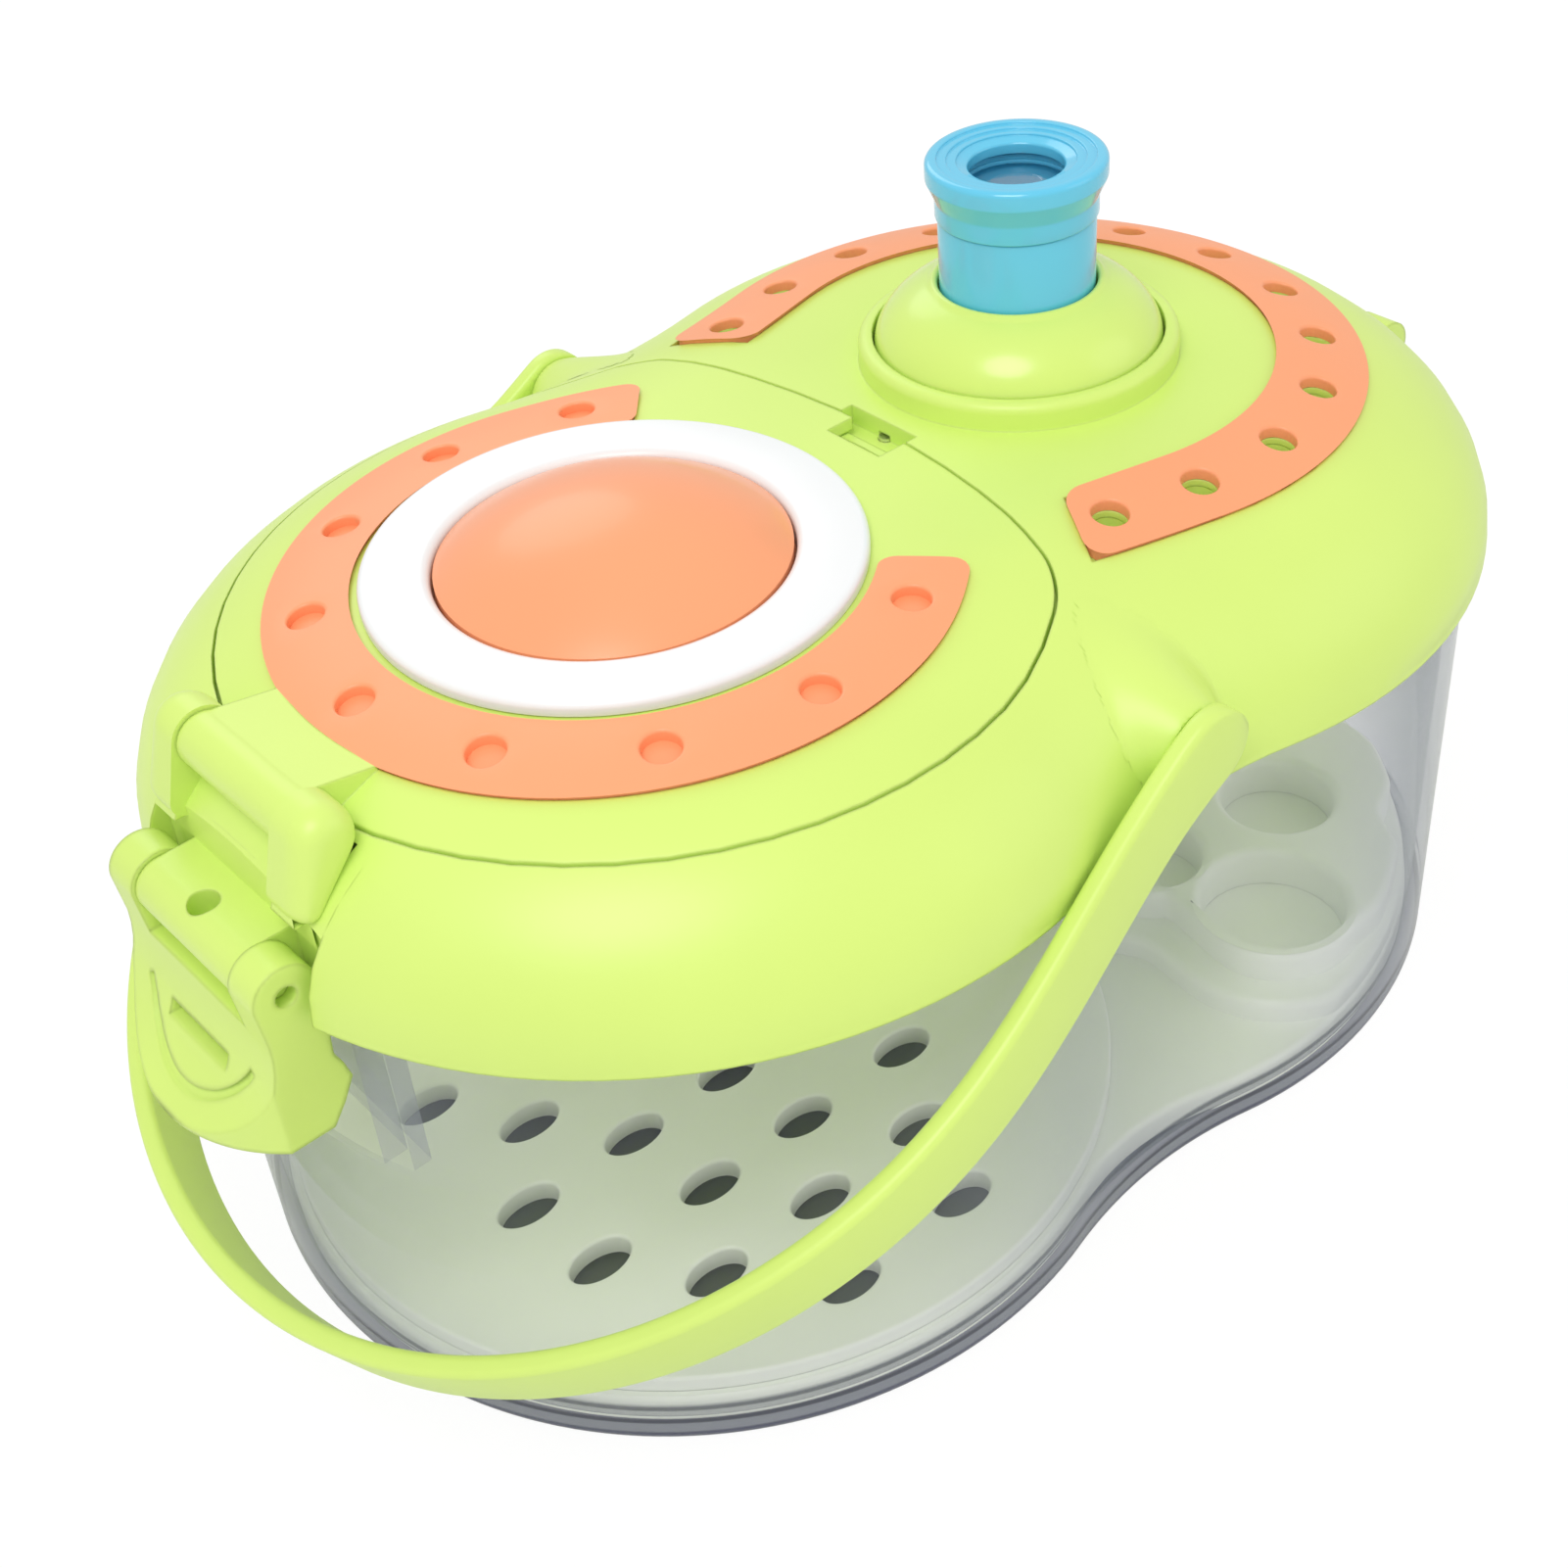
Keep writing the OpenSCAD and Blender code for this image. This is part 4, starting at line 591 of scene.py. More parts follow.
def bossFairing():
    # The crown's distance from the middle plane and a cone about the boss, joined by a rounded maximum and
    # held back from the strap
    p = fairing
    x, z = np.meshgrid(np.linspace(-p["half"], p["half"], p["grid"][0]),
                       np.linspace(p["low"], p["high"], p["grid"][1]))
    share = np.sqrt(1 - ((z - lid["skirtZ"] - lid["straight"]) / lid["drop"]) ** 2)
    depth = lid["shoulderIn"] * (1 - share)
    crown = lid["waistY"] - np.sqrt((lid["waistR"] + depth) ** 2 - x ** 2) - p["under"]
    past = np.maximum(np.hypot(x, z - p["pivotZ"]) - p["bossR"], 0)
    boss = p["bossFar"] - p["slope"] * past - p["curve"] * past ** 2
    mix = np.maximum(p["blend"] - np.abs(crown - boss), 0) / p["blend"]
    joined = np.maximum(crown, boss) + mix ** 2 * p["blend"] / 4 * (boss > crown - p["blend"])
    y = np.minimum(joined, p["most"])
    near = boss > crown - p["blend"] - p["edge"]
    faces = sheetFaces(*x.shape)
    faces = faces[near.ravel()[faces].all(1)]
    points = np.stack([x, y, z], -1).reshape(-1, 3)
    addPiece("bossFairing", [(points, faces[:, ::-1]), (points * (1, -1, 1), faces)], "lime_plastic", "jar",
             recalc=False)


copyNode("lid_shell", "lime_edged", hidden=underEars)
copyNode("hatch_door", "lime_edged")
copyNode("near_latch", "lime_soft", crowned=False)
copyNode("far_latch", "lime_soft", crowned=False)
hingeEars()
crownPatch()
bossFairing()
print("bug jar: lid, door and latches skinned")


# Orange inlays

inlay = dict(proud=0.8, deep=1.15, fillet=0.55, corner=2.2, gap=1.6, skin=1.0, holeR=2.85)
hatchArc = dict(inner=39.6, outer=51.8, holes=45.5, open=48.0, count=9, step=30.0)
ventArc = dict(inner=42.2, outer=55.9, holes=49.1, end=104.0, legOut=22.0, legIn=18.0, count=11, step=20.45,
               legHole=14.5, corner=3.3)
collar = dict(outer=3.7, long=7.5, below=1.4, fit=0.02, round=0.3)


def inlayTop(x, y):
    return crownHeight(x, y) + inlay["proud"]


def inlayLow(x, y):
    return crownHeight(x, y) - inlay["deep"]


def inlayFloor(x, y):
    return crownHeight(x, y) - inlay["skin"]


def bandLoop(arc, half, legs, corner):
    # Rounded rectangle in (run, across), carried round the arc's middle radius and on along its tangents.
    # Legs hold the lengths of a tangent's two sides, outer first
    middle, width = (arc["inner"] + arc["outer"]) / 2, arc["outer"] - arc["inner"]
    reach = middle * half
    mean = sum(legs) / 2
    lean = (legs[0] - legs[1]) / width
    box = [[-reach - mean, -width / 2], [reach + mean, -width / 2], [reach + mean, width / 2],
           [-reach - mean, width / 2]]
    run, across = dense(rounded(box, corner, 6), inlay["gap"]).T
    over = np.abs(run) - reach
    share = np.clip(over / max(mean, 1e-6), 0, 1)
    over = over + share * lean * across
    turn = np.clip(run / middle, -half, half)
    along = np.where(share > 0, over, 0) * np.sign(run)
    x = (middle + across) * np.cos(turn) - along * np.sin(turn)
    y = (middle + across) * np.sin(turn) + along * np.cos(turn)
    return np.stack([x, y], -1)


def arcHoles(arc, centre, facing):
    # Middles of the holes, evenly stepped to both sides of the direction that the arc faces
    turns = facing + np.radians((np.arange(arc["count"]) - (arc["count"] - 1) / 2) * arc["step"])
    return [(centre + arc["holes"] * math.cos(a), arc["holes"] * math.sin(a)) for a in turns]


def hatchBand():
    # The band's outline lifted onto the crown, with a blind dimple at each of its holes
    arc, centre = hatchArc, lid["hatchCentre"]
    loop = bandLoop(arc, math.radians(180 - arc["open"]), (0, 0), inlay["corner"]) * (-1, 1) + (centre, 0)
    dimples = [circle(x, y, inlay["holeR"]) for x, y in arcHoles(arc, centre, math.pi)]
    parts = filletPlate(loop[::-1], [], dimples, inlayTop, inlayLow, inlay["fillet"], inlayFloor)
    addPiece("hatchBand", parts, "orange_plastic", "hatch", ("hatch_inlay",))


def ventBand():
    # The band with its holes, one in each leg too, and a collar from the lid's wall down under each hole
    arc, centre, half = ventArc, lid["scopeCentre"], math.radians(ventArc["end"])
    loop = bandLoop(arc, half, (arc["legOut"], arc["legIn"]), arc["corner"]) + (centre, 0)
    spots = arcHoles(arc, centre, 0)
    x = centre + arc["holes"] * math.cos(half) - arc["legHole"] * math.sin(half)
    y = arc["holes"] * math.sin(half) + arc["legHole"] * math.cos(half)
    spots += [(x, y), (x, -y)]
    holes = [circle(x, y, inlay["holeR"]) for x, y in spots]
    parts = filletPlate(loop, holes, [], inlayTop, inlayLow, inlay["fillet"])
    addPiece("ventBand", parts, "orange_plastic", "jar", ("vent_inlay",))
    p, rings = collar, []
    for x, y in spots:
        high = float(crownHeight(x, y)) - p["below"]
        low, bore = high - p["long"], inlay["holeR"] + p["fit"]
        profile = rounded([(bore, low), (p["outer"], low), (p["outer"], high), (bore, high)],
                          [p["round"], p["round"], 0, 0], 3)
        rings.append(revolved(profile, (x, y), 28))
    addPiece("ventCollars", rings, "lime_plastic", "jar")


hatchBand()
ventBand()
print("bug jar: inlays made")


# Light: white ring and orange dome that is pressed

ring = dict(outer=37.7, inner=27.0, top=115.3, low=110.8, neck=35.7, ledge=113.02, seat=108.0, fit=0.3,
            fillets=(0.3, 0, 0, 0, 0, 0.2, 1.5, 1.5))
dome = dict(r=26.6, edge=114.6, rise=8.6, wall=2.0, under=1.0, flange=28.6, flangeLow=109.1, flangeTop=110.5,
            postR=3.0, postLow=108.0, postTop=121.2, collarR=6.5, collarLow=111.8, collarTop=113.3)


def lightRing():
    # Profile of the ring, its neck through the door and the recess for the dome's flange, carried round
    p, recess = ring, dome["flange"] + ring["fit"]
    profile = rounded([(p["inner"], p["low"]), (recess, p["low"]), (recess, p["seat"]),
                       (p["neck"], p["seat"]), (p["neck"], p["ledge"]), (p["outer"], p["ledge"]),
                       (p["outer"], p["top"]), (p["inner"], p["top"])], p["fillets"], 8)
    addPiece("lightRing", [revolved(profile, (lid["hatchCentre"], 0), 160)], "white_plastic", "hatch",
             ("lamp_bezel",))


def pushDome():
    # Two spherical caps with a flange, and a post with a collar on the axis
    p, inside = dome, dome["r"] - dome["wall"]
    cap = domeArc(p["r"], p["rise"], p["edge"], 30)
    under = domeArc(inside, p["rise"] - p["under"], p["edge"] - p["under"], 16)[::-1]
    body = np.vstack([[(inside, p["flangeLow"]), (p["flange"], p["flangeLow"]), (p["flange"], p["flangeTop"]),
                       (p["r"], p["flangeTop"])], cap, under])
    post = [(0, p["postLow"]), (p["postR"], p["postLow"]), (p["postR"], p["collarLow"]),
            (p["collarR"], p["collarLow"]), (p["collarR"], p["collarTop"]), (p["postR"], p["collarTop"]),
            (p["postR"], p["postTop"]), (0, p["postTop"])]
    centre = (lid["hatchCentre"], 0)
    addPiece("pushDome", [revolved(body, centre, 144), revolved(post, centre, 36)], "orange_gloss", "button",
             ("button_dome",))


lightRing()
pushDome()


# Scope: domed turret, tube and eyecup

turret = dict(domeR=23.6, base=115.5, rise=13.2, wall=2.2, hole=12.9, low=108.1, flange=26.6, flangeThick=2.2,
              lip=0.7, lipTurn=55, lipDrop=1.05, sleeveWall=2.3, sleeveLow=104.0, seam=0.1)
tube = dict(outer=12.6, top=137.6, low=99.5, bore=10.8, stopR=14.4, stopTop=101.0, spigot=11.6,
            spigotTop=143.6, seatR=9.7, seatLow=141.4, eyeR=8.7, eyeLow=140.4, coneLow=139.4, ledgeR=9.8,
            ledgeCone=108.2, ledgeTop=107.2, ledgeLow=106.2,
            fillets=(0, 0.3, 0.3, 0, 0.35, 0, 0.3, 0.3, 0, 0.2, 0.2, 0, 0, 0.2, 0, 0))
cup = dict(outer=14.4, top=147.0, hole=7.6, bore=11.66, inside=143.7, skirt=13.0, fit=0.1,
           flare=(140.8, 142.9, 144.0), flareIn=0.5, sideFillets=(0, 0.3, 1.6, 0.8, 0.8, 1.5), brim=1.9,
           rings=3, pitch=1.5525, fall=0.28, step=0.42, stepFillets=(0.22, 0.15), dish=1.45,
           holeFillets=(0.5, 0.3, 0))


def turretDome():
    # Elliptical shell r cos v, base + rise sin v with a rolled lip round the hole, a flange and a sleeve
    p = turret
    v = np.linspace(0, math.acos(p["hole"] / p["domeR"]), 26)
    inside = p["domeR"] - p["wall"]
    outer = np.stack([p["domeR"] * np.cos(v), p["base"] + p["rise"] * np.sin(v)], -1)
    inner = np.stack([inside * np.cos(v), p["base"] + (p["rise"] - p["wall"]) * np.sin(v)], -1)
    edge = arcAt(p["hole"] + p["lip"], outer[-1, 1] - p["lipDrop"] * p["lip"], p["lip"],
                 np.linspace(math.radians(p["lipTurn"]), math.pi, 7))
    outer = outer[outer[:, 0] > edge[0, 0] + p["seam"]]
    sleeve = p["hole"] + p["sleeveWall"]
    inner = inner[inner[:, 0] > sleeve + p["seam"]]
    flangeTop = p["low"] + p["flangeThick"]
    profile = np.vstack([[(inside, p["low"]), (p["flange"], p["low"]), (p["flange"], flangeTop),
                          (p["domeR"], flangeTop)], outer, edge,
                         [(p["hole"], p["sleeveLow"]), (sleeve, p["sleeveLow"])], inner[::-1]])
    addPiece("turretDome", [revolved(profile, (lid["scopeCentre"], 0), 144)], "lime_gloss", "turret",
             ("scope_turret",), sharp=50)


def eyeTube():
    # Up the outside from the stop at the foot, over the spigot, and down the bore past both lens seats
    p = tube
    profile = [(p["bore"], p["low"]), (p["stopR"], p["low"]), (p["stopR"], p["stopTop"]),
               (p["outer"], p["stopTop"]), (p["outer"], p["top"]), (p["spigot"], p["top"]),
               (p["spigot"], p["spigotTop"]), (p["seatR"], p["spigotTop"]), (p["seatR"], p["seatLow"]),
               (p["eyeR"], p["seatLow"]), (p["eyeR"], p["eyeLow"]), (p["bore"], p["coneLow"]),
               (p["bore"], p["ledgeCone"]), (p["ledgeR"], p["ledgeTop"]), (p["ledgeR"], p["ledgeLow"]),
               (p["bore"], p["ledgeLow"])]
    addPiece("eyeTube", [revolved(rounded(profile, p["fillets"], 4), (lid["scopeCentre"], 0), 128)],
             "blue_plastic", "eyepiece", ("eyepiece_tube",))


def eyeCup():
    # Skirt, flared flange and a dished face of rings: a rounded step every pitch, each a little lower
    p, low = cup, tube["top"] + cup["fit"]
    start, middle, end = p["flare"]
    profile = [(p["bore"], low), (p["skirt"], low), (p["skirt"], start), (p["outer"] - p["flareIn"], middle),
               (p["outer"], end), (p["outer"], p["top"])]
    fillets = list(p["sideFillets"])
    for k in range(p["rings"]):
        r, z = p["outer"] - p["brim"] - k * p["pitch"], p["top"] - p["fall"] * k
        profile += [(r, z), (r, z - p["step"])]
        fillets += p["stepFillets"]
    profile += [(p["hole"], p["top"] - p["dish"]), (p["hole"], p["inside"]), (p["bore"], p["inside"])]
    fillets += p["holeFillets"]
    addPiece("eyeCup", [revolved(rounded(profile, fillets, 5), (lid["scopeCentre"], 0), 128)], "blue_plastic",
             "eyepiece", ("eyecup",), sharp=55)


turretDome()
eyeTube()
eyeCup()
print("bug jar: light and scope made")


# Carry handle

strap = dict(pivotZ=95.0, tilt=28.5, reach=145.0, halfWide=82.0, near=75.56, middle=60.0, width=13.0,
             thick=3.5, discR=7.0, fade=8.0, corner=1.25, studR=3.0, studIn=68.06, studTip=0.4, studDeep=1.0)


def handleStud(side):
    # Profile of the radius r by the distance y from the middle plane, carried round the hinge line
    p = strap
    spin = np.linspace(0, 2 * math.pi, 40, endpoint=False)
    tip, root = p["studIn"], p["near"] + p["studDeep"]
    rows = [(0, tip), (p["studR"] - p["studTip"], tip), (p["studR"], tip + p["studTip"]), (p["studR"], root),
            (0, root)]
    r, y = np.array(rows)[:, :, None].transpose(1, 0, 2)
    points = np.stack(np.broadcast_arrays(r * np.cos(spin), side * y, r * np.sin(spin)), -1)
    return points.reshape(-1, 3), gridFaces(len(rows), len(spin))


def carryHandle():
    # The middle line runs straight out from the pivot, sways out to the widest place and closes in half an
    # ellipse. A rounded rectangle is carried along it; past the pivot its height follows the disc's circle
    p = strap
    halfWidth, flat = p["width"] / 2, p["thick"] / 2
    back = -p["discR"] * np.cos(np.linspace(0, math.pi / 2, 12))[:-1]
    ahead = np.linspace(0, p["middle"], 34)[:-1]
    u = np.concatenate([back, ahead])
    q = np.clip(u / p["middle"], 0, 1)
    line = np.stack([u, p["near"] + (p["halfWide"] - p["near"]) * q * q * (3 - 2 * q)], -1)
    t = np.linspace(0, math.pi / 2, 60)
    bow = np.stack([p["middle"] + (p["reach"] - p["middle"]) * np.sin(t), p["halfWide"] * np.cos(t)], -1)
    side = np.vstack([line, bow])
    path = np.vstack([side, (side * (1, -1))[::-1][1:]])
    high = np.full(len(side), halfWidth)
    high[:len(back)] = np.sqrt(np.maximum(p["discR"] ** 2 - back ** 2, 0))
    high[len(back):len(u)] = halfWidth + (p["discR"] - halfWidth) * np.exp(-(ahead / p["fade"]) ** 2)
    high = np.concatenate([high, high[::-1][1:]])
    tangent = np.gradient(path, axis=0)
    tangent /= np.linalg.norm(tangent, axis=1, keepdims=True)
    tangent[:len(back)] = (1, 0)
    tangent[-len(back):] = (-1, 0)
    outward = np.stack([-tangent[:, 1], tangent[:, 0]], -1)
    section = rounded([(-flat, -halfWidth), (flat, -halfWidth), (flat, halfWidth), (-flat, halfWidth)],
                      p["corner"], 5)
    across, upright = section[:, 0] + flat, section[:, 1] / halfWidth
    xy = path[:, None, :] + outward[:, None, :] * across[None, :, None]
    z = high[:, None] * upright[None, :]
    points = np.concatenate([xy, z[..., None]], -1).reshape(-1, 3)
    parts = [(points, gridFaces(len(path), len(section))), handleStud(1), handleStud(-1)]
    tilt = math.radians(p["tilt"])
    swung = []
    for some, faces in parts:
        x, y, z = -some[:, 0], some[:, 1], some[:, 2]
        swung.append((np.stack([x * math.cos(tilt) - z * math.sin(tilt), y,
                                x * math.sin(tilt) + z * math.cos(tilt) + p["pivotZ"]], -1), faces))
    addPiece("handleStrap", swung, "lime_plastic", "handle", ("carry_handle",), sharp=50)


carryHandle()
print("bug jar: handle made")


# Clear container

tank = dict(outer=2.6, inner=4.8, foot=9.6, footTop=3.0, footEdge=0.15, under=1.0, round=4.0, floorRound=2.5,
            rim=87.0, lip=0.6, levels=(20, 38), wall=2.2, bayX=107.92, bayHalf=24.6, bayZ=56.0, bayLevel=70,
            catchHalf=12.0, catchLow=72.0, catchHigh=79.0, catchOut=115.02, catchRound=1.0, catchFit=0.02,
            lobeSteps=44, baySteps=22, waistSteps=24)


def tankRing(inset, bayHalf):
    # Outline moved inwards by inset: the round end's arc with doubled points at the bay's sides, then the
    # waist's arc, and the same turned by half a turn. The flags mark the points inside the bay
    r, w = lid["lobeR"] - inset, lid["waistR"] + inset
    join = math.atan2(lid["waistY"], -lid["lobeX"])
    side = math.asin(bayHalf / r)
    plain, within = tank["lobeSteps"], tank["baySteps"]
    lobe = np.concatenate([np.linspace(-join, -side, plain), np.linspace(-side, side, within),
                           np.linspace(side, join, plain)])
    waist = np.linspace(-math.pi + join, -join, tank["waistSteps"])[1:-1]
    half = np.vstack([arcAt(lid["lobeX"], 0, r, lobe), arcAt(0, lid["waistY"], w, waist)])
    flags = np.repeat([False, True, False, False], [plain, within, plain, len(waist)])
    return np.vstack([half, -half]), np.concatenate([flags, flags])


def tankRows():
    # (inset, height, bay) of each ring: up the outside, over the rounded lip, down the inside to the floor
    p = tank
    t = np.linspace(0, math.pi / 2, 9)
    out, within, top = p["outer"], p["inner"], p["rim"] - p["lip"]
    rows = [(p["foot"], p["under"], False), (p["foot"], p["footEdge"], False),
            (p["foot"] - p["footEdge"], 0, False)]
    rows += [(out + p["round"] * (1 - math.sin(a)), p["round"] * (1 - math.cos(a)), False) for a in t]
    rows += [(out, z, False) for z in (*p["levels"], p["bayZ"])]
    rows += [(out, z, True) for z in (p["bayZ"], p["bayLevel"], top)]
    rows += [(out + p["lip"] * (1 - math.cos(a)), p["rim"] - p["lip"] * (1 - math.sin(a)), True)
             for a in t[2::2]]
    rows += [(within - p["lip"] * (1 - math.cos(a)), p["rim"] - p["lip"] * (1 - math.sin(a)), True)
             for a in t[::-2]]
    rows += [(within, z, True) for z in (p["bayLevel"], p["bayZ"] - p["wall"])]
    rows += [(within, z, False) for z in (p["bayZ"] - p["wall"], *p["levels"][::-1])]
    rows += [(within + p["floorRound"] * (1 - math.cos(a)),
              p["footTop"] + p["floorRound"] * (1 - math.sin(a)), False) for a in t]
    return rows + [(p["foot"], p["footTop"], False)]


def clearTank():
    # Rings of the outline. Above the bay's floor, the points inside the bay stop at its flat wall
    p = tank
    rings = []
    for inset, z, above in tankRows():
        deep = (inset - p["outer"]) if inset < p["inner"] + 0.01 else p["wall"]
        ring, bayPoints = tankRing(inset, p["bayHalf"] + deep)
        if above:
            flat = np.sign(ring[:, 0]) * np.minimum(np.abs(ring[:, 0]), p["bayX"] - deep)
            ring = np.column_stack([np.where(bayPoints, flat, ring[:, 0]), ring[:, 1]])
        rings.append(np.column_stack([ring, np.full(len(ring), z)]))
    parts = [(np.vstack(rings), cappedFaces(len(rings), len(rings[0])))]
    root = p["bayX"] + p["catchFit"]
    box = rounded([(root, p["catchLow"]), (p["catchOut"], p["catchLow"]), (p["catchOut"], p["catchHigh"]),
                   (root, p["catchHigh"])], [0, p["catchRound"], p["catchRound"], 0], 4)
    for side in (1, -1):
        ends = [np.column_stack([side * box[:, 0], np.full(len(box), y), box[:, 1]])
                for y in (-p["catchHalf"], p["catchHalf"])]
        parts.append((np.vstack(ends), cappedFaces(2, len(box))))
    addPiece("clearTank", parts, "clear_plastic", "jar", ("container",), sharp=35)


clearTank()
print("bug jar: container made")


# Play insert: base plate, perforated panel and a stepped mound with bowls

# The last four sizes place the dark plate of painted shade under the perforated panel
tray = dict(inset=5.6, waist=45.0, low=3.0, base=8.0, sink=1.0, panel=11.0, panelIn=1.5, panelGap=0.5,
            fillet=1.4, slotA=5.7, slotB=3.5, slotFillet=0.7, hollowIn=2.0, hollowLow=0.1, hollowTop=1.0,
            hollowFillet=0.3)
mound = dict(middle=(62.0, -14.0), edge=1.4, ledge=2.6, step=5.6, clear=0.6, low=12.5, top=18.5, sink=2.0,
             floor=8.6, fillet=1.9,
             bowls=((51.5, -53.0, 12.8), (74.6, -35.0, 10.4), (46.0, -28.6, 9.6), (45.0, 32.5, 14.5),
                    (75.9, 16.5, 11.4)),
             pads=((65.0, -50.0, 15.0), (80.0, -30.0, 19.0), (84.0, -8.0, 24.0), (80.0, 14.0, 20.0),
                   (60.0, 12.0, 16.0)))
# The panel's slots as shares of the lobe's radius from its centre: y of a row, then the x of each slot in it
slotRows = [(-0.73, (-0.21, 0.10)), (-0.53, (-0.39, -0.11, 0.17)), (-0.34, (-0.54, -0.25, 0.01, 0.30)),
            (-0.12, (-0.56, -0.28, -0.02, 0.27)), (0.07, (-0.42, -0.13, 0.15)),
            (0.27, (-0.55, -0.27, 0.01, 0.29)), (0.47, (-0.40, -0.12, 0.16)), (0.67, (-0.22, 0.08))]


def moundOutline(margin, inset):
    # Star-shaped about its middle: in each direction the furthest exit from the circles round the bowls and
    # pads, held inside the tray's round end and evened out by a running mean
    p = mound
    t = np.linspace(0, 2 * math.pi, 240, endpoint=False)
    aim = np.stack([np.cos(t), np.sin(t)], -1)
    middle = np.array(p["middle"])

    def leave(x, y, r):
        gap = np.array([x, y]) - middle
        along = aim @ gap
        inside = r ** 2 - (gap @ gap - along ** 2)
        return np.where(inside > 0, along + np.sqrt(np.maximum(inside, 0)), 0)

    reach = np.max([leave(x, y, r + margin) for x, y, r in p["bowls"] + p["pads"]], axis=0)
    limit = leave(lid["lobeX"], 0, lid["lobeR"] - tray["inset"] - inset)
    around = np.arange(-3, 4)
    reach = np.mean([np.roll(reach, k) for k in around], axis=0)
    reach = np.minimum(reach, limit)
    reach = np.mean([np.roll(reach, k) for k in around[2:-2]], axis=0)
    return middle + aim * reach[:, None]


def playInsert():
    p, q = tray, mound
    r = lid["lobeR"] - p["inset"]
    panelR, sunk = r - p["panelIn"], level(p["base"] - p["sink"])
    window = circle(-lid["lobeX"], 0, panelR - p["panelGap"], 160)
    parts = filletPlate(twoLobes(r, p["waist"]), [window], [], level(p["base"]), level(p["low"]), p["fillet"],
                        spacing=9)
    disc = circle(-lid["lobeX"], 0, panelR, 200)[::-1]
    squash = p["slotB"] / p["slotA"]
    slots = [circle(x * lid["lobeR"] - lid["lobeX"], y * lid["lobeR"], p["slotA"], 32, squash)
             for y, xs in slotRows for x in xs]
    parts += filletPlate(disc, slots, [], level(p["panel"]), sunk, p["slotFillet"], spacing=7)
    bowls = [circle(x, y, bowlR, 72) for x, y, bowlR in q["bowls"]]
    parts += filletPlate(moundOutline(q["ledge"] + q["step"], q["clear"]), bowls, [], level(q["low"]), sunk,
                         q["fillet"], spacing=6, steps=6)
    parts += filletPlate(moundOutline(q["ledge"], q["clear"] + q["edge"]), [], bowls, level(q["top"]),
                         level(q["low"] - q["sink"]), q["fillet"], level(q["floor"]), spacing=6, steps=6)
    addPiece("playInsertSkin", parts, "insert_plastic", "jar", ("play_insert",), sharp=45)
    # Painted shade: a dark plate under the perforated panel, so that its slots look into shadow
    hollow = circle(-lid["lobeX"], 0, panelR - p["hollowIn"], 90)[::-1]
    parts = filletPlate(hollow, [], [], level(p["low"] + p["hollowTop"]), level(p["low"] + p["hollowLow"]),
                        p["hollowFillet"], spacing=12)
    addPiece("panelPaintedShade", parts, "shade", "jar")


playInsert()
print("bug jar: insert made")


# Camera, in millimetres and degrees

view = dict(azimuth=-37.66, elevation=39.03, roll=-5.47, place=(-195.6, -233.6, 293.6), lens=51.53, sensor=36,
            clip=(10, 20000))


def addCamera():
    az, el, roll = (math.radians(view[k]) for k in ("azimuth", "elevation", "roll"))
    back = Vector((math.sin(az) * math.cos(el), -math.cos(az) * math.cos(el), math.sin(el)))
    sideways = Vector((math.cos(az), math.sin(az), 0))
    rise = back.cross(sideways)
    right = sideways * math.cos(roll) + rise * math.sin(roll)
    up = back.cross(right)
    data = bpy.data.cameras.new("camera")
    data.lens = view["lens"]
    data.sensor_width = view["sensor"]
    data.clip_start, data.clip_end = mm(view["clip"])
    camera = addObject("camera", data)
    turn = Matrix((right, up, back)).transposed().to_4x4()
    camera.matrix_world = Matrix.Translation(Vector(mm(view["place"]))) @ turn
    bpy.context.scene.camera = camera


# Floor, world and lamps, in metres. A lamp is its place, size and power

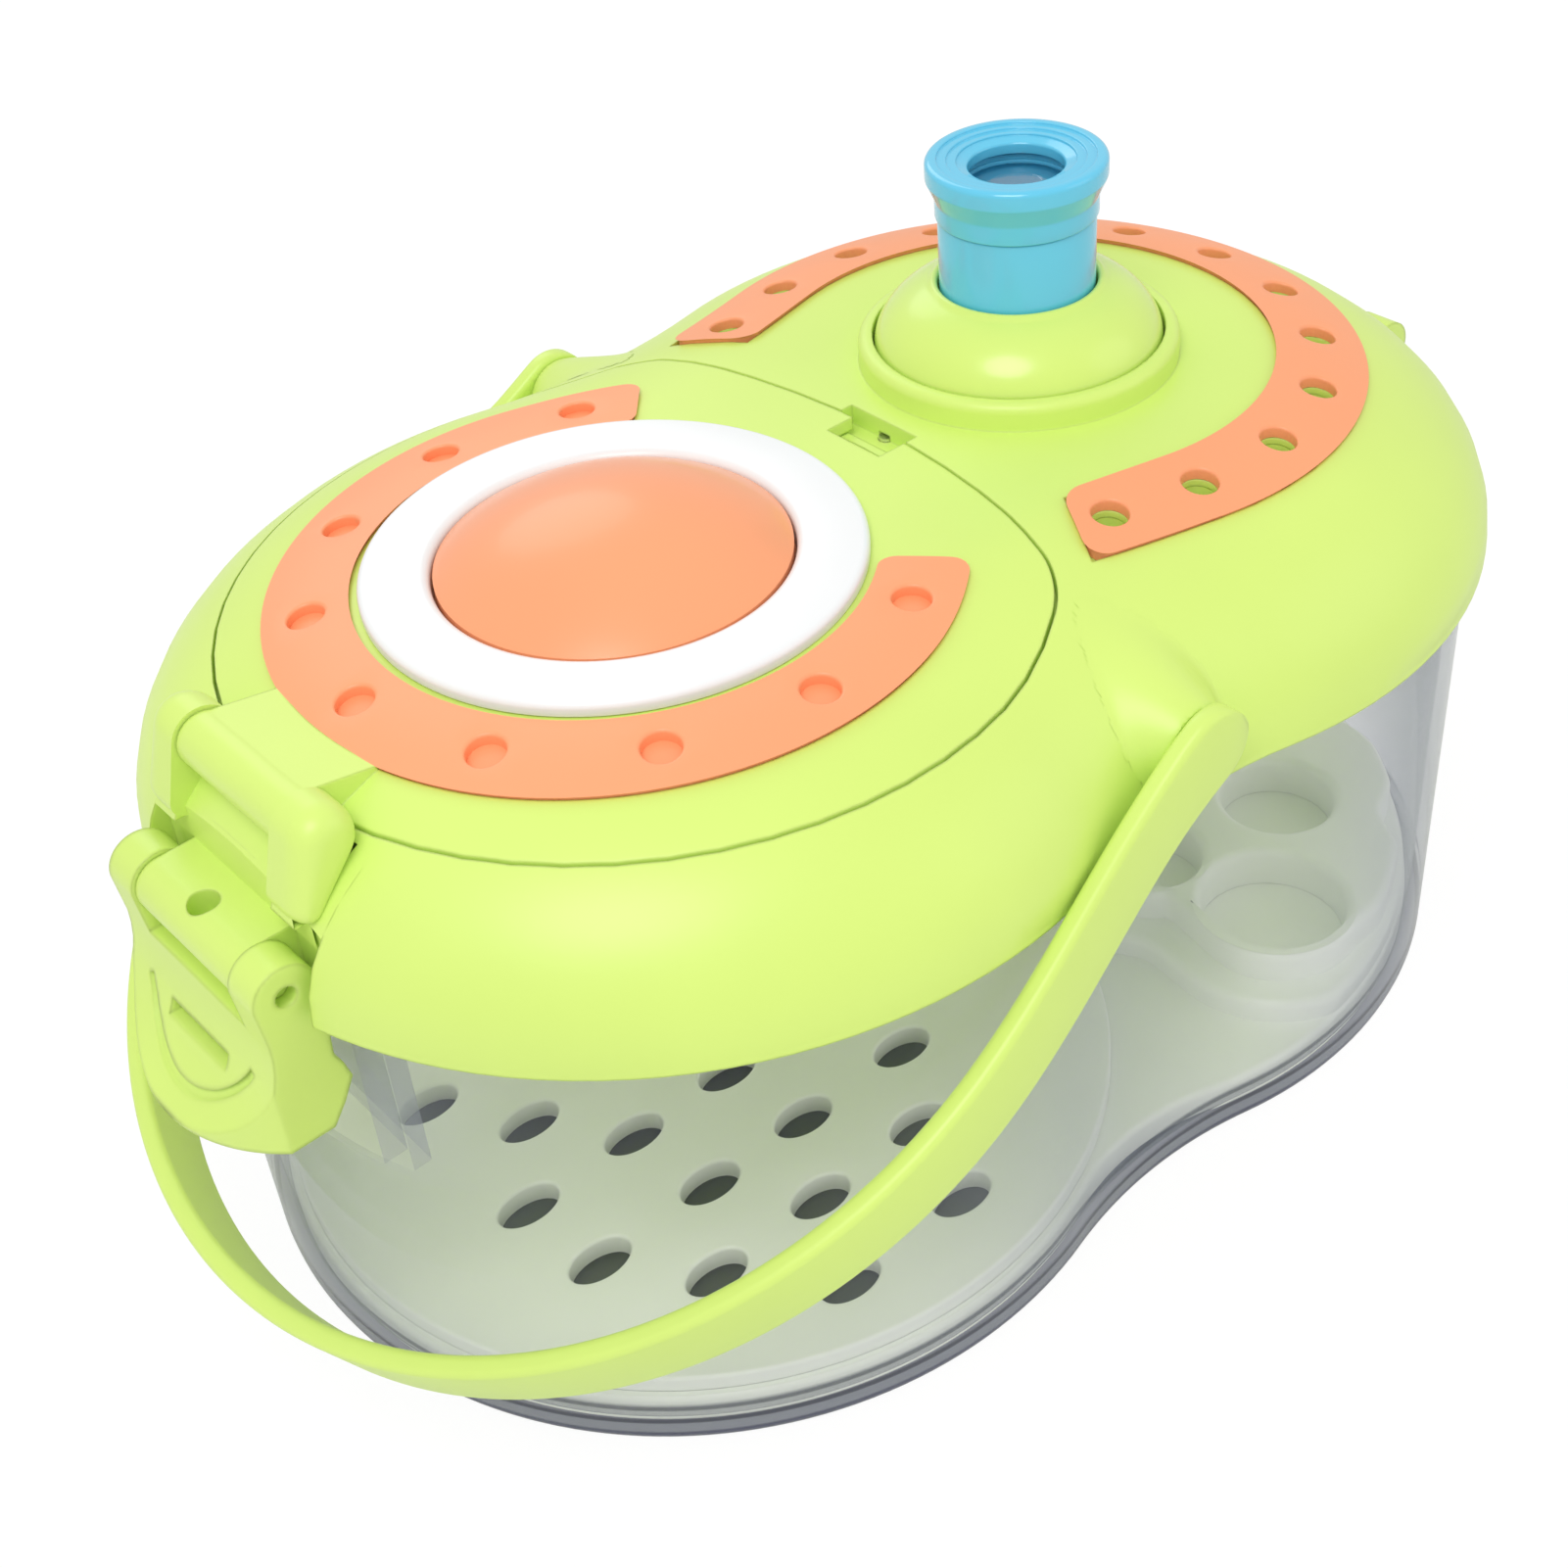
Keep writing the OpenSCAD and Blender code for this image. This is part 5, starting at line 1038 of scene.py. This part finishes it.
studio = dict(floorSize=4.0, floorDrop=0.0003, floorShade=0.86, floorRough=0.6, glow=1.04, glowShare=0.88,
              world=0.72, aim=(0, 0, 0.08),
              lamps=dict(key=((-0.5, -0.35, 1.0), 0.6, 4.6), fill=((0.7, -0.8, 0.6), 0.8, 1.0),
                         rim=((0.3, 0.9, 0.8), 0.7, 1.6)))


def addLamp(name, place, size, power):
    data = bpy.data.lights.new(name, "AREA")
    data.shape = "DISK"
    data.size = size
    data.energy = power
    light = addObject(name, data)
    light.location = place
    light.rotation_mode = "QUATERNION"
    light.rotation_quaternion = (Vector(studio["aim"]) - Vector(place)).to_track_quat("-Z", "Y")


def addStudio():
    # The camera sees the floor mostly as an even glow, so it is nearly white and still takes the shadow
    p = studio
    mesh = bpy.data.meshes.new("floor")
    half = p["floorSize"] / 2
    mesh.from_pydata([(-half, -half, 0), (half, -half, 0), (half, half, 0), (-half, half, 0)], [],
                     [(0, 1, 2, 3)])
    floor = addObject("floor", mesh)
    floor.location.z = -p["floorDrop"]
    mat, tree, shader = newMaterial("paleFloor")
    feed(tree, shader, {"Base Color": (*[p["floorShade"]] * 3, 1), "Roughness": p["floorRough"]})
    glow = addNode(tree, "Emission", {"Strength": p["glow"]})
    seen = eitherRay(tree, "Is Camera Ray", "Is Transmission Ray")
    share = addNode(tree, "Math", {0: seen, 1: p["glowShare"]}, operation="MULTIPLY")
    blend = addNode(tree, "MixShader", {"Fac": share.outputs[0], 1: shader.outputs[0], 2: glow.outputs[0]})
    feed(tree, tree.nodes["Material Output"], {"Surface": blend.outputs[0]})
    mesh.materials.append(mat)
    world = bpy.data.worlds.new("studio")
    bpy.context.scene.world = world
    world.use_nodes = True
    tree = world.node_tree
    path = addNode(tree, "LightPath")
    strength = addNode(tree, "MapRange", {"To Min": p["world"], "To Max": 1.0,
                                          "Value": path.outputs["Is Camera Ray"]})
    feed(tree, tree.nodes["Background"], {"Color": (1, 1, 1, 1), "Strength": strength.outputs["Result"]})
    for name, (place, size, power) in p["lamps"].items():
        addLamp(name, place, size, power)
    bpy.context.scene.view_settings.view_transform = "Standard"


addCamera()
addStudio()
print("bug jar: studio ready")

print("bug jar: done")
